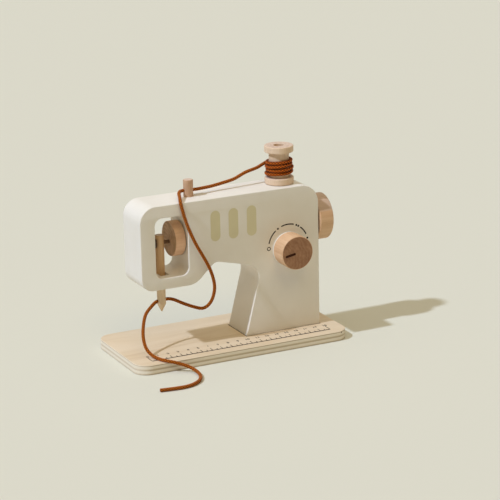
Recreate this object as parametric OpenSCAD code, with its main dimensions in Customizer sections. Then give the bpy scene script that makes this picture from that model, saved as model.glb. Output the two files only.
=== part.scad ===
// Toy sewing machine of painted wood on a plywood base, with a turning handwheel,
// a needle bar on a crank, a dial, a thread spool and its loose thread.
// Millimetres. Origin at the middle of the base's underside, X to the handwheel, Y to the rear, Z up.

/* [Base] */
// Depth of the base board, front to rear
base_depth = 100; // [80:1:130]
// Thickness of the base board
base_thick = 9; // [6:0.5:14]
// Corner radius of the base board
base_corner = 14; // [4:1:20]

/* [Body] */
// Length of the body from head to handwheel end
body_len = 178.4; // [165:0.1:190]
// Height of the body above the base
body_height = 135.2; // [125:0.1:150]
// Thickness of the body, front to rear
body_thick = 38.5; // [32:0.5:48]
// Thickness of the front and rear panels
panel_thick = 9; // [6:0.5:10]
// Distance of the head from the left end of the base
head_setback = 18.7; // [10:0.1:30]
// Distance of the body's right end from the right end of the base
end_setback = 15.7; // [15.6:0.1:30]
// Height of the head
head_h = 77.7; // [70:0.1:82]
// Length of the head's flat underside
head_floor = 52.7; // [48:0.1:58]
// Width of the column at its foot
column_foot = 75.9; // [65:0.1:85]
// Lean of the column's inner edge from vertical, degrees
column_lean = 14.5; // [8:0.5:20]
// Depth of the arm where it meets the column
arm_h = 70.3; // [66:0.1:76]
// Slope of the throat's roof, degrees
throat_slope = 13.5; // [8:0.5:18]
// Slope of the edge between head and throat, degrees
head_slope = 43; // [35:1:50]

/* [Window] */
// Width of the window in the head
window_w = 32.2; // [28:0.1:36]
// Wall left of the window
window_side = 14.3; // [10:0.1:18]
// Wall above the window
window_top = 11.6; // [8:0.1:16]
// Wall below the window
window_floor = 10.3; // [7:0.1:14]
// Corner radius of the window
window_corner = 7; // [3:0.5:12]

/* [Drive] */
// Depth of the shaft's axis below the body's top
shaft_drop = 36.9; // [35:0.1:40]
// Diameter of the drive shaft
shaft_d = 10; // [8:0.5:12]
// Diameter of the handwheel
wheel_d = 43.5; // [34:0.5:48]
// Thickness of the handwheel
wheel_thick = 13.4; // [9:0.1:13.8]
// Diameter of the crank disc
disc_d = 32.2; // [26:0.1:34]
// Thickness of the crank disc
disc_thick = 9.8; // [9:0.1:12]
// Crank radius, half of the needle's stroke
crank_r = 2.5; // [2:0.1:3.8]
// Diameter of the crank pin
pin_d = 3.4; // [3:0.1:3.8]

/* [Needle] */
// Diameter of the needle bar
needle_d = 8; // [6:0.1:8.6]
// Length of the needle below the head
needle_out = 26.5; // [24:0.5:30]
// Length of the needle's pointed end
needle_point = 7.3; // [5:0.1:9]
// Height of the eye above the tip
eye_rise = 11; // [10:0.5:13]

/* [Dial] */
// Diameter of the dial knob
knob_d = 31.5; // [26:0.5:34]
// Length of the dial knob
knob_len = 18.5; // [14:0.1:22]
// Distance of the dial from the body's right end
dial_inset = 31.8; // [26:0.1:36]
// Depth of the dial below the body's top
dial_drop = 57.4; // [56:0.1:61]

/* [Spool and thread] */
// Outer diameter of the spool
spool_d = 26.9; // [24:0.1:30]
// Height of the spool
spool_h = 35.6; // [33:0.1:38]
// Thickness of the spool's flanges
flange_t = 6; // [5:0.5:7]
// Diameter of the spool's core
core_d = 18.7; // [17:0.1:19.5]
// Diameter of the spool's bore
bore_d = 9.7; // [8:0.1:11]
// Distance of the spool from the body's right end
spool_inset = 30.1; // [26:0.1:34]
// Distance of the thread guide from the head's left face
guide_inset = 56.4; // [52:0.1:60]
// Diameter of the thread guide
guide_d = 9; // [8:0.5:11]
// Height of the thread guide above the body
guide_h = 15.6; // [13:0.1:18]
// Diameter of the thread
thread_d = 3; // [2.6:0.1:3.2]

/* [Hidden] */
$fn = 72;

// Clearances
move_gap = 0.3;
run_gap = 0.05;
thread_gap = 0.25;
thread_lift = 0.3;
eye_gap = 0.1;
glue_gap = 0.02;
tiny = 0.01;
// Every cutter runs past its face by this much
over = 1;

// Corner radii of the body
top_left_r = 15;
top_right_r = 18;
head_r = 11.5;
slope_r = 18;
ridge_r = 8;
throat_r = 14;
// Straight steps in each rounded corner
arc_steps = 10;

// Where the body stands
base_len = head_setback + body_len + end_setback;
head_clear = body_height - head_h;
throat_height = body_height - arm_h;
head_x = -base_len / 2 + head_setback;
end_x = head_x + body_len;
foot_x = end_x - column_foot;
top_z = base_thick + body_height;
head_z = base_thick + head_clear;
front_y = -body_thick / 2;
core_y = body_thick / 2 - panel_thick;
slope_x = head_x + head_floor;
throat_z = base_thick + throat_height;
throat_x = foot_x + tan(column_lean) * throat_height;
// The ridge is where the head's sloping edge meets the throat's roof
roof_rise = throat_z - head_z + tan(throat_slope) * (throat_x - slope_x);
ridge_run = roof_rise / (tan(head_slope) + tan(throat_slope));
ridge_x = slope_x + ridge_run;
ridge_z = head_z + tan(head_slope) * ridge_run;
body_points = [[head_x, top_z], [head_x, head_z], [slope_x, head_z], [ridge_x, ridge_z],
    [throat_x, throat_z], [foot_x, base_thick], [end_x, base_thick], [end_x, top_z]];
body_radii = [top_left_r, head_r, slope_r, ridge_r, throat_r, 0, 0, top_right_r];

// Window, shaft channel and needle slot
window_x0 = head_x + window_side;
window_x1 = window_x0 + window_w;
window_z0 = head_z + window_floor;
window_z1 = top_z - window_top;
axis_z = top_z - shaft_drop;
channel_h = shaft_d + 3;
bearing_len = 14;
slot_gap = 0.3;

// Drive, from the window's right wall to the wheel
disc_gap = 0.8;
disc_x1 = window_x1 - disc_gap;
disc_x0 = disc_x1 - disc_thick;
shaft_seat = disc_thick / 2;
pin_seat = disc_thick / 2 - 0.5;
washer_t = 1.4;
washer_d = shaft_d + 8;
wheel_x0 = end_x + move_gap + washer_t;
wheel_chamfer = 2.2;
wheel_seat = wheel_thick - 4;
pin_z = axis_z - crank_r;
pin_gap = 5.3;
needle_x = disc_x0 - pin_gap - needle_d / 2;
cap_d = 9;
cap_t = 2.2;
cap_x1 = needle_x - needle_d / 2 - move_gap;
cap_seat = 1.8;

// Needle, from its tip to its top
tip_z = head_z - needle_out;
tip_r = 0.5;
eye_z = tip_z + eye_rise;
needle_top = pin_z + 7.4;
eye_d = thread_d + 2 * eye_gap;

// Dial
dial_x = end_x - dial_inset;
dial_z = top_z - dial_drop;
axle_d = 8;
axle_in = 10;
axle_seat = 12;
collar_d = 16;
collar_t = 5;
collar_gap = 1.2;
pocket_d = collar_d + 2 * collar_gap;
pocket_deep = collar_gap + collar_t + axle_in;
knob_y = front_y - move_gap;
knob_chamfer = 1;
mark_in = 2;
mark_len = 10;
mark_w = 1.2;
mark_deep = 0.6;
mark_turn = 10;

// Pins on the top
pin_sink = 14;
pin_chamfer = 0.8;
guide_x = head_x + guide_inset;
guide_hole_z = top_z + 5.8;
guide_hole_d = thread_d + 1;
spool_x = end_x - spool_inset;
spool_z = top_z + move_gap;
spool_edge = 0.7;
spool_pin_d = bore_d - 2 * run_gap;
spool_pin_h = spool_h - 5;

// Dowels between the panels and screws under the column
dowel_d = 6;
dowel_sink = 5;
upper_mid = (axis_z + channel_h / 2 + top_z) / 2;
lower_mid = (axis_z - channel_h / 2 + ridge_z) / 2;
column_mid = base_thick + 0.7 * throat_height;
dowels = [[head_x + window_side / 2, axis_z - 0.4 * disc_d], [(guide_x + spool_x) / 2, upper_mid],
    [end_x - 0.4 * spool_inset, upper_mid], [(ridge_x + throat_x) / 2, lower_mid],
    [foot_x + 0.36 * column_foot, column_mid], [end_x - 0.15 * column_foot, column_mid]];
screw_d = 4;
screw_head_d = 8;
screw_head_h = 3;
screw_len = 28;
screw_sink = 0.3;
screws = [for (part = [0.83, 0.51, 0.17]) end_x - part * column_foot];

// Winding: a helix from the rear at the top, clockwise seen from above, four turns down
wind_d = thread_d * 0.8667;
wind_pitch = wind_d + 0.25;
wind_turns = 4;
wind_rings = 24;
wind_r = core_d / 2 + run_gap + wind_d / 2;
wind_rise = flange_t + wind_d / 2 + 0.1;
wind_top = spool_z + wind_rise + wind_turns * wind_pitch;

// Free thread: hand-chosen points, the upper run seen from the spool to the needle
feed_z = wind_top + wind_d / 2 + thread_lift + thread_d / 2;
feed_y = core_d / 2 + thread_lift + thread_d / 2;
face_y = front_y - thread_lift - thread_d / 2;
table_z = thread_d / 2 + tiny;
board_z = base_thick + thread_d / 2 + 0.05;
board_y = -base_depth / 2;
eye_up = eye_z - base_thick;
upper_points = [
    [spool_x, feed_y, feed_z],
    [spool_x - 4, feed_y + 0.1, feed_z],
    [spool_x - 8, feed_y + 1.1, feed_z - 1.6],
    [spool_x - 12, feed_y + 0.5, feed_z - 4.3],
    [spool_x - 18, feed_y - 1.7, feed_z - 6.4],
    [spool_x - 31, feed_y - 3.5, guide_hole_z + 7.2],
    [spool_x - 43, feed_y - 5.1, guide_hole_z + 3.8],
    [guide_x + 36, 4.5, guide_hole_z + 1.5],
    [guide_x + 24, 3, guide_hole_z + 0.4],
    [guide_x + 13, 1.2, guide_hole_z],
    [guide_x + 7, 0, guide_hole_z],
    [guide_x - 6, 0, guide_hole_z],
    [guide_x - 9, -2, guide_hole_z],
    [guide_x - 12, -6, guide_hole_z - 0.4],
    [guide_x - 14.5, front_y + 6, top_z + 3.5],
    [guide_x - 16.8, front_y + 0.3, top_z + 2.2],
    [guide_x - 17, face_y, top_z - 1.2],
    [guide_x - 16, face_y - 0.3, top_z - 5.2],
    [guide_x - 14, face_y - 0.3, top_z - 13.2],
    [guide_x - 9.5, face_y - 0.7, top_z - 26.2],
    [guide_x - 3.6, face_y - 1.2, top_z - 39.7],
    [guide_x + 3, face_y - 1.2, top_z - 51.7],
    [guide_x + 9.4, face_y - 0.7, top_z - 64.2],
    [guide_x + 14, front_y - 1, eye_z + 15.3],
    [guide_x + 14.7, front_y + 1, eye_z + 5],
    [guide_x + 12.3, -15, eye_z - 5],
    [guide_x + 6, -12, eye_z - 10.5],
    [guide_x - 2.6, -8.2, eye_z - 8.5],
    [guide_x - 11, -4.4, eye_z - 5],
    [needle_x + 12, -1, eye_z - 1.5],
    [needle_x + 7, 0, eye_z],
    [needle_x + needle_d / 2 + thread_gap, 0, eye_z]];
lower_points = [
    [needle_x - needle_d / 2 - thread_gap, 0, eye_z],
    [needle_x - 7, 0, eye_z - 0.3],
    [needle_x - 12, -2, eye_z - 3.7],
    [needle_x - 18.5, -5, base_thick + 0.79 * eye_up],
    [head_x + 3.5, -11, base_thick + 0.61 * eye_up],
    [head_x - 0.4, -18.2, base_thick + 0.4 * eye_up],
    [head_x - 1.2, -25.2, base_thick + 0.2 * eye_up],
    [head_x + 1.3, -31, board_z + 1.6],
    [head_x + 3.8, board_y + 12, board_z],
    [head_x + 5.8, board_y + 5.3, board_z],
    [head_x + 9.1, board_y - 0.6, board_z],
    [head_x + 14.2, board_y - 3.5, base_thick + 0.4],
    [head_x + 19.2, board_y - 5.5, base_thick - 1.4],
    [head_x + 23.2, board_y - 7.5, base_thick - 2.9],
    [head_x + 26.8, board_y - 10.5, base_thick - 4.6],
    [head_x + 29.4, board_y - 15.5, table_z + 1],
    [head_x + 29.6, board_y - 22.6, table_z],
    [head_x + 26.4, board_y - 31.5, table_z],
    [head_x + 22, board_y - 37.9, table_z],
    [head_x + 15.9, board_y - 42.6, table_z],
    [head_x + 9.5, board_y - 45.3, table_z],
    [head_x + 2.9, board_y - 46.1, table_z],
    [head_x - 4.1, board_y - 45.6, table_z],
    [head_x - 10.9, board_y - 44.6, table_z],
    [head_x - 17.9, board_y - 43.5, table_z]];
thread_steps = 2;

// Helpers
function unit(v) = v / norm(v);
function half_angle(p, q, r) = acos(unit(p - q) * unit(r - q)) / 2;
function corner_cut(p, q, r, rad) = rad / tan(half_angle(p, q, r));
function corner_mid(p, q, r, rad) = q + unit(unit(p - q) + unit(r - q)) * rad / sin(half_angle(p, q, r));
function prev(list, i) = list[(i + len(list) - 1) % len(list)];
function next(list, i) = list[(i + 1) % len(list)];

// The points of a rounded corner, from where the arc leaves one side to where it meets the next
function arc_at(mid, rad, from, sweep) = [for (k = [0:arc_steps]) mid
    + rad * [cos(from + sweep * k / arc_steps), sin(from + sweep * k / arc_steps)]];
function short_turn(a) = a > 180 ? a - 360 : a < -180 ? a + 360 : a;
function bearing_of(v) = atan2(v[1], v[0]);
function rounded_corner(p, q, r, rad) = let (cut = corner_cut(p, q, r, rad), mid = corner_mid(p, q, r, rad),
    from = bearing_of(q + unit(p - q) * cut - mid), to = bearing_of(q + unit(r - q) * cut - mid))
    arc_at(mid, rad, from, short_turn(to - from));

module rounded_outline(pts, rads) {
    polygon([for (i = [0:len(pts) - 1])
        each rads[i] == 0 ? [pts[i]] : rounded_corner(prev(pts, i), pts[i], next(pts, i), rads[i])]);
}

module body_outline() {
    difference() {
        rounded_outline(body_points, body_radii);
        rounded_outline([[window_x0, window_z0], [window_x1, window_z0], [window_x1, window_z1],
            [window_x0, window_z1]], [window_corner, window_corner, window_corner, window_corner]);
    }
}

// A drawing in X and Z, made solid between two depths
module slab(y0, y1) {
    translate([0, y1, 0])
        rotate([90, 0, 0])
            linear_extrude(y1 - y0)
                children();
}

module rod_x(x0, x1, y, z, d) {
    translate([x0, y, z])
        rotate([0, 90, 0])
            cylinder(d = d, h = x1 - x0);
}

module rod_y(y0, y1, x, z, d) {
    translate([x, y1, z])
        rotate([90, 0, 0])
            cylinder(d = d, h = y1 - y0);
}

module rod_z(z0, z1, x, y, d) {
    translate([x, y, z0])
        cylinder(d = d, h = z1 - z0);
}

// A turned pin with a small chamfer round its top
module turned_pin(x, z0, z1, d) {
    translate([x, 0, z0])
        rotate_extrude()
            polygon([[0, 0], [d / 2, 0], [d / 2, z1 - z0 - pin_chamfer],
                [d / 2 - pin_chamfer, z1 - z0], [0, z1 - z0]]);
}

// The dowels, or with a gap all round the holes that they are glued in
module dowel_rods(gap) {
    for (p = dowels)
        rod_y(-core_y - dowel_sink - gap, core_y + dowel_sink + gap, p[0], p[1], dowel_d + 2 * gap);
}

// The core's drawing: the body less the shaft channel and the needle slot
module core_outline() {
    difference() {
        body_outline();
        translate([window_x1 - over, axis_z - channel_h / 2])
            square([end_x - window_x1 + 2 * over, channel_h]);
        translate([needle_x - needle_d / 2 - slot_gap, head_z - over])
            square([needle_d + 2 * slot_gap, window_floor + 2 * over]);
    }
}

// Thread points, smoothed through the chosen points
function smooth_at(p, i, t) = let (n = len(p) - 1, a = p[max(i - 1, 0)], b = p[i], c = p[min(i + 1, n)],
    d = p[min(i + 2, n)]) 0.5 * (2 * b + (c - a) * t + (2 * a - 5 * b + 4 * c - d) * t * t
    + (3 * b - a - 3 * c + d) * t * t * t);
function smooth(p, k) = [for (i = [0:len(p) - 2]) for (j = [0:k - 1]) smooth_at(p, i, j / k), p[len(p) - 1]];
function tangents(p) = [for (i = [0:len(p) - 1]) unit(p[min(i + 1, len(p) - 1)] - p[max(i - 1, 0)])];
function square_to(v, t) = unit(v - t * (v * t));
function sides_of(t, v, i = 0, out = []) = i == len(t) ? out
    : sides_of(t, v, i + 1, concat(out, [square_to(i == 0 ? v : out[i - 1], t[i])]));

module tube(p, d, sides) {
    t = tangents(p);
    u = sides_of(t, [0, 0.6, 0.8]);
    pts = [for (i = [0:len(p) - 1]) for (k = [0:sides - 1])
        p[i] + d / 2 * (u[i] * cos(360 * k / sides) + cross(t[i], u[i]) * sin(360 * k / sides))];
    last = (len(p) - 1) * sides;
    faces = concat(
        [[for (k = [0:sides - 1]) k]],
        [[for (k = [0:sides - 1]) last + sides - 1 - k]],
        [for (i = [0:len(p) - 2]) for (k = [0:sides - 1])
            [i * sides + k, (i + 1) * sides + k, (i + 1) * sides + (k + 1) % sides]],
        [for (i = [0:len(p) - 2]) for (k = [0:sides - 1])
            [i * sides + k, (i + 1) * sides + (k + 1) % sides, i * sides + (k + 1) % sides]]);
    polyhedron(points = pts, faces = faces);
}

function wind_at(a) = [spool_x + wind_r * sin(a), wind_r * cos(a), wind_top - wind_pitch * a / 360];
wind_sweep = 360 * wind_turns;
wind_path = concat(
    [wind_at(0) - wind_d * [1, 0, 0]],
    [for (i = [0:wind_rings * wind_turns]) wind_at(i * 360 / wind_rings)],
    [wind_at(wind_sweep) + wind_d * [1, 0, 0]]);
wind_far = wind_rings / 2;
wind_least = min([for (i = [0:len(wind_path) - 1 - wind_far]) for (j = [i + wind_far:len(wind_path) - 1])
    norm(wind_path[i] - wind_path[j])]) - wind_d;
echo("least gap of the winding to itself", wind_least);

module base_board() {
    color("burlywood")
        difference() {
            linear_extrude(base_thick)
                rounded_outline([[-base_len / 2, -base_depth / 2], [base_len / 2, -base_depth / 2],
                    [base_len / 2, base_depth / 2], [-base_len / 2, base_depth / 2]],
                    [base_corner, base_corner, base_corner, base_corner]);
            for (x = screws) {
                rod_z(-over, base_thick + over, x, 0, screw_d);
                rod_z(-over, screw_sink + tiny, x, 0, screw_head_d);
                translate([x, 0, screw_sink])
                    cylinder(d1 = screw_head_d, d2 = screw_d, h = screw_head_h);
            }
        }
}

module front_panel() {
    color("ivory")
        difference() {
            slab(front_y, -core_y)
                body_outline();
            dowel_rods(glue_gap);
            rod_y(front_y - over, over, dial_x, dial_z, axle_d + 2 * run_gap);
        }
}

module core_upper() {
    color("wheat")
        difference() {
            slab(-core_y, core_y)
                intersection() {
                    core_outline();
                    union() {
                        translate([head_x - over, 0])
                            square([needle_x - head_x + over, top_z + over]);
                        translate([head_x - over, axis_z])
                            square([body_len + 2 * over, shaft_drop + over]);
                    }
                }
            dowel_rods(glue_gap);
            rod_z(top_z - pin_sink, top_z + over, guide_x, 0, guide_d);
            rod_z(top_z - pin_sink, top_z + over, spool_x, 0, spool_pin_d);
        }
}

module core_lower() {
    color("wheat")
        difference() {
            slab(-core_y, core_y)
                intersection() {
                    core_outline();
                    translate([needle_x, 0])
                        square([end_x - needle_x + over, axis_z]);
                }
            dowel_rods(glue_gap);
            rod_y(-core_y - over, -core_y + pocket_deep, dial_x, dial_z, pocket_d);
            for (x = screws)
                rod_z(0, screw_sink + screw_head_h + screw_len, x, 0, screw_d);
        }
}

module rear_panel() {
    color("ivory")
        difference() {
            slab(core_y, body_thick / 2)
                body_outline();
            dowel_rods(glue_gap);
        }
}

module panel_dowels() {
    color("tan")
        dowel_rods(0);
}

module base_screws() {
    color("silver")
        for (x = screws) {
            translate([x, 0, screw_sink])
                cylinder(d1 = screw_head_d, d2 = screw_d, h = screw_head_h);
            rod_z(screw_sink + screw_head_h - tiny, screw_sink + screw_head_h + screw_len, x, 0, screw_d);
        }
}

module bearing(x0, x1) {
    difference() {
        translate([x0, -core_y, axis_z - channel_h / 2])
            cube([x1 - x0, 2 * core_y, channel_h]);
        rod_x(x0 - over, x1 + over, 0, axis_z, shaft_d + 2 * run_gap);
    }
}

module shaft_bearing_left() {
    color("tan")
        bearing(window_x1, window_x1 + bearing_len);
}

module shaft_bearing_right() {
    color("tan")
        bearing(end_x - bearing_len, end_x);
}

module thread_guide_pin() {
    color("bisque")
        difference() {
            turned_pin(guide_x, top_z - pin_sink, top_z + guide_h, guide_d);
            rod_x(guide_x - guide_d, guide_x + guide_d, 0, guide_hole_z, guide_hole_d);
        }
}

module spool_pin() {
    color("bisque")
        turned_pin(spool_x, top_z - pin_sink, top_z + spool_pin_h, spool_pin_d);
}

module thread_upper() {
    color("sienna")
        tube(smooth(upper_points, thread_steps), thread_d, 8);
}

module thread_lower() {
    color("sienna")
        tube(smooth(lower_points, thread_steps), thread_d, 8);
}

module drive_shaft() {
    color("tan")
        rod_x(disc_x1 - shaft_seat, wheel_x0 + wheel_seat, 0, axis_z, shaft_d);
}

module handwheel() {
    color("peru")
        difference() {
            translate([wheel_x0, 0, axis_z])
                rotate([0, 90, 0])
                    rotate_extrude()
                        polygon([[0, 0], [wheel_d / 2 - wheel_chamfer, 0], [wheel_d / 2, wheel_chamfer],
                            [wheel_d / 2, wheel_thick - wheel_chamfer],
                            [wheel_d / 2 - wheel_chamfer, wheel_thick], [0, wheel_thick]]);
            rod_x(wheel_x0 - over, wheel_x0 + wheel_seat, 0, axis_z, shaft_d);
        }
}

module wheel_washer() {
    color("saddlebrown")
        difference() {
            rod_x(wheel_x0 - washer_t, wheel_x0, 0, axis_z, washer_d);
            rod_x(wheel_x0 - washer_t - over, wheel_x0 + over, 0, axis_z, shaft_d);
        }
}

module crank_disc() {
    color("peru")
        difference() {
            rod_x(disc_x0, disc_x1, 0, axis_z, disc_d);
            rod_x(disc_x1 - shaft_seat, disc_x1 + over, 0, axis_z, shaft_d);
            rod_x(disc_x0 - over, disc_x0 + pin_seat, 0, pin_z, pin_d);
        }
}

module crank_pin() {
    color("dimgray")
        rod_x(cap_x1 - cap_seat, disc_x0 + pin_seat, 0, pin_z, pin_d);
}

module crank_pin_cap() {
    color("dimgray")
        difference() {
            rod_x(cap_x1 - cap_t, cap_x1, 0, pin_z, cap_d);
            rod_x(cap_x1 - cap_seat, cap_x1 + over, 0, pin_z, pin_d);
        }
}

module needle_bar() {
    color("bisque")
        difference() {
            translate([needle_x, 0, tip_z])
                rotate_extrude()
                    polygon([[0, 0], [tip_r, 0], [needle_d / 2, needle_point],
                        [needle_d / 2, needle_top - tip_z], [0, needle_top - tip_z]]);
            rod_x(needle_x - needle_d, needle_x + needle_d, 0, pin_z, pin_d + 2 * run_gap);
            rod_x(needle_x - needle_d, needle_x + needle_d, 0, eye_z, eye_d);
        }
}

module thread_eye() {
    color("sienna")
        rod_x(needle_x - needle_d / 2, needle_x + needle_d / 2, 0, eye_z, thread_d);
}

module dial_knob() {
    color("peru")
        difference() {
            translate([dial_x, knob_y, dial_z])
                rotate([90, 0, 0])
                    rotate_extrude()
                        polygon([[0, 0], [knob_d / 2, 0], [knob_d / 2, knob_len - knob_chamfer],
                            [knob_d / 2 - knob_chamfer, knob_len], [0, knob_len]]);
            rod_y(knob_y - axle_seat, knob_y + over, dial_x, dial_z, axle_d);
            translate([dial_x, knob_y - knob_len - over, dial_z])
                rotate([0, -mark_turn, 0])
                    translate([-mark_in - mark_len, 0, -mark_w / 2])
                        cube([mark_len, mark_deep + over, mark_w]);
        }
}

module dial_axle() {
    color("tan")
        rod_y(knob_y - axle_seat, -core_y + axle_in, dial_x, dial_z, axle_d);
}

module dial_collar() {
    color("tan")
        difference() {
            rod_y(-core_y + move_gap, -core_y + move_gap + collar_t, dial_x, dial_z, collar_d);
            rod_y(-core_y - over, core_y, dial_x, dial_z, axle_d);
        }
}

module spool() {
    color("bisque")
        translate([spool_x, 0, spool_z])
            rotate_extrude()
                polygon([[bore_d / 2, 0], [spool_d / 2 - spool_edge, 0], [spool_d / 2, spool_edge],
                    [spool_d / 2, flange_t - spool_edge], [spool_d / 2 - spool_edge, flange_t],
                    [core_d / 2, flange_t], [core_d / 2, spool_h - flange_t],
                    [spool_d / 2 - spool_edge, spool_h - flange_t],
                    [spool_d / 2, spool_h - flange_t + spool_edge],
                    [spool_d / 2, spool_h - spool_edge], [spool_d / 2 - spool_edge, spool_h],
                    [bore_d / 2, spool_h]]);
}

module thread_winding() {
    color("sienna")
        tube(wind_path, wind_d, 6);
}

base_board();
front_panel();
core_upper();
core_lower();
rear_panel();
panel_dowels();
base_screws();
shaft_bearing_left();
shaft_bearing_right();
thread_guide_pin();
spool_pin();
thread_upper();
thread_lower();
drive_shaft();
handwheel();
wheel_washer();
crank_disc();
crank_pin();
crank_pin_cap();
needle_bar();
thread_eye();
dial_knob();
dial_axle();
dial_collar();
spool();
thread_winding();
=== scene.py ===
# %% [markdown]
# # Toy sewing machine
# A wooden toy: a cream painted body on a plywood base with a printed ruler. A handwheel works a needle bar
# through a crank disc, and a rust-coloured thread runs from a spool through a guide pin and the needle's eye
# to its cut end on the table.
# The solids come from the packed model, in metres and in one frame. Each step below dresses one piece: first
# what it is on the toy, then how it is made here and why. Sizes are written in millimetres, as on a drawing.

import bmesh
import bpy
import numpy as np
from mathutils import Matrix, Vector
from mathutils.geometry import tessellate_polygon


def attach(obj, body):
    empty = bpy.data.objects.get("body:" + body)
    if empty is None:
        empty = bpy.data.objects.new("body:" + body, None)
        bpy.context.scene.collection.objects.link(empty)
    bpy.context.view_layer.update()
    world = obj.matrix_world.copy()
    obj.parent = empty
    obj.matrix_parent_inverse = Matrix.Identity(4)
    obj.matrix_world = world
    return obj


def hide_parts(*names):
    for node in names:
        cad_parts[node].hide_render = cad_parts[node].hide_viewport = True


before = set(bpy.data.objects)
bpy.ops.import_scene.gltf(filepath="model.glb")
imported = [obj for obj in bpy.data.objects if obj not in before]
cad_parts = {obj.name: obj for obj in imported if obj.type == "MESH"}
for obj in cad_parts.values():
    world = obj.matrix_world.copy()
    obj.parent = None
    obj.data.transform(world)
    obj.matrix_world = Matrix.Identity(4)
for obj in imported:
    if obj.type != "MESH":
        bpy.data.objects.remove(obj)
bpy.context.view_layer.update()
MM = 0.001

# %% [markdown]
# ## Camera
# The photograph was taken with a long lens from the front left, a little above the machine.
# A camera fitted to the ruler's marks gives its place, its direction and a small roll.
# The lens is set from the fitted focal length of a 500 pixel square picture on a 36 mm sensor.

# %% Camera
VIEW_AZIMUTH, VIEW_ELEVATION, VIEW_ROLL = np.radians([-25.925, 16.40, -1.229])
CAMERA_PLACE = np.array([-786.7, -1678.45, 633.8]) * MM
PICTURE_SIDE, FOCAL_PIXELS, SENSOR_MM = 500, 2113.8, 36.0


def towards(azimuth, elevation):
    """The direction from the origin to an azimuth and elevation in radians; azimuth 0 is the front, -Y."""
    level = np.cos(elevation)
    return np.array([np.sin(azimuth) * level, -np.cos(azimuth) * level, np.sin(elevation)])


def camera_axes(azimuth, elevation, roll):
    """Right, up and back of a camera that looks from an azimuth and elevation, then rolls about its view."""
    back = towards(azimuth, elevation)
    right = np.array([np.cos(azimuth), np.sin(azimuth), 0.0])
    up = np.cross(back, right)
    cos, sin = np.cos(roll), np.sin(roll)
    return cos * right + sin * up, cos * up - sin * right, back


camera_data = bpy.data.cameras.new("camera")
camera_data.sensor_width = SENSOR_MM
camera_data.lens = FOCAL_PIXELS * SENSOR_MM / PICTURE_SIDE
camera_data.clip_end = 20.0
camera = bpy.data.objects.new("camera", camera_data)
bpy.context.scene.collection.objects.link(camera)
placed = np.eye(4)
placed[:3, :3] = np.column_stack(camera_axes(VIEW_AZIMUTH, VIEW_ELEVATION, VIEW_ROLL))
placed[:3, 3] = CAMERA_PLACE
camera.matrix_world = Matrix(placed.tolist())
bpy.context.scene.camera = camera
print("lens", round(camera_data.lens, 1), "mm")

# %% [markdown]
# ## Materials
# Every finish is a Principled shader whose colour, roughness and bump come from noise on Object coordinates,
# so a pattern stays with its piece when a joint moves, and it can be baked later.
# Colours are written as a screen shows them and turned into the linear light that a shader works in.

# %% Colours
def srgb(red, green, blue):
    """The linear colour of a screen colour in 0 to 255, with alpha 1: a short straight toe, then a power of 2.4."""
    c = np.array([red, green, blue]) / 255.0
    linear = np.where(c <= 0.04045, c / 12.92, ((c + 0.055) / 1.055) ** 2.4)
    return (*map(float, linear), 1.0)


def deeper(colour, share):
    """A share of a colour's light, with alpha 1."""
    return (*(share * c for c in colour[:3]), 1.0)


BLACK, WHITE = srgb(0, 0, 0), srgb(255, 255, 255)
print("a middle grey of 128 holds", round(srgb(128, 128, 128)[0], 3), "of white's light")

# %% [markdown]
# ### A helper for node wiring
# A finish is a small graph of nodes. It could be clicked together in the shader editor, but a recipe in words is
# easier to follow and repeat. This class holds one graph while it is built, so that each recipe below reads as a
# few lines: place a pattern, make noise, colour it and link it to the shader. Noise sizes are patches per metre.

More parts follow.
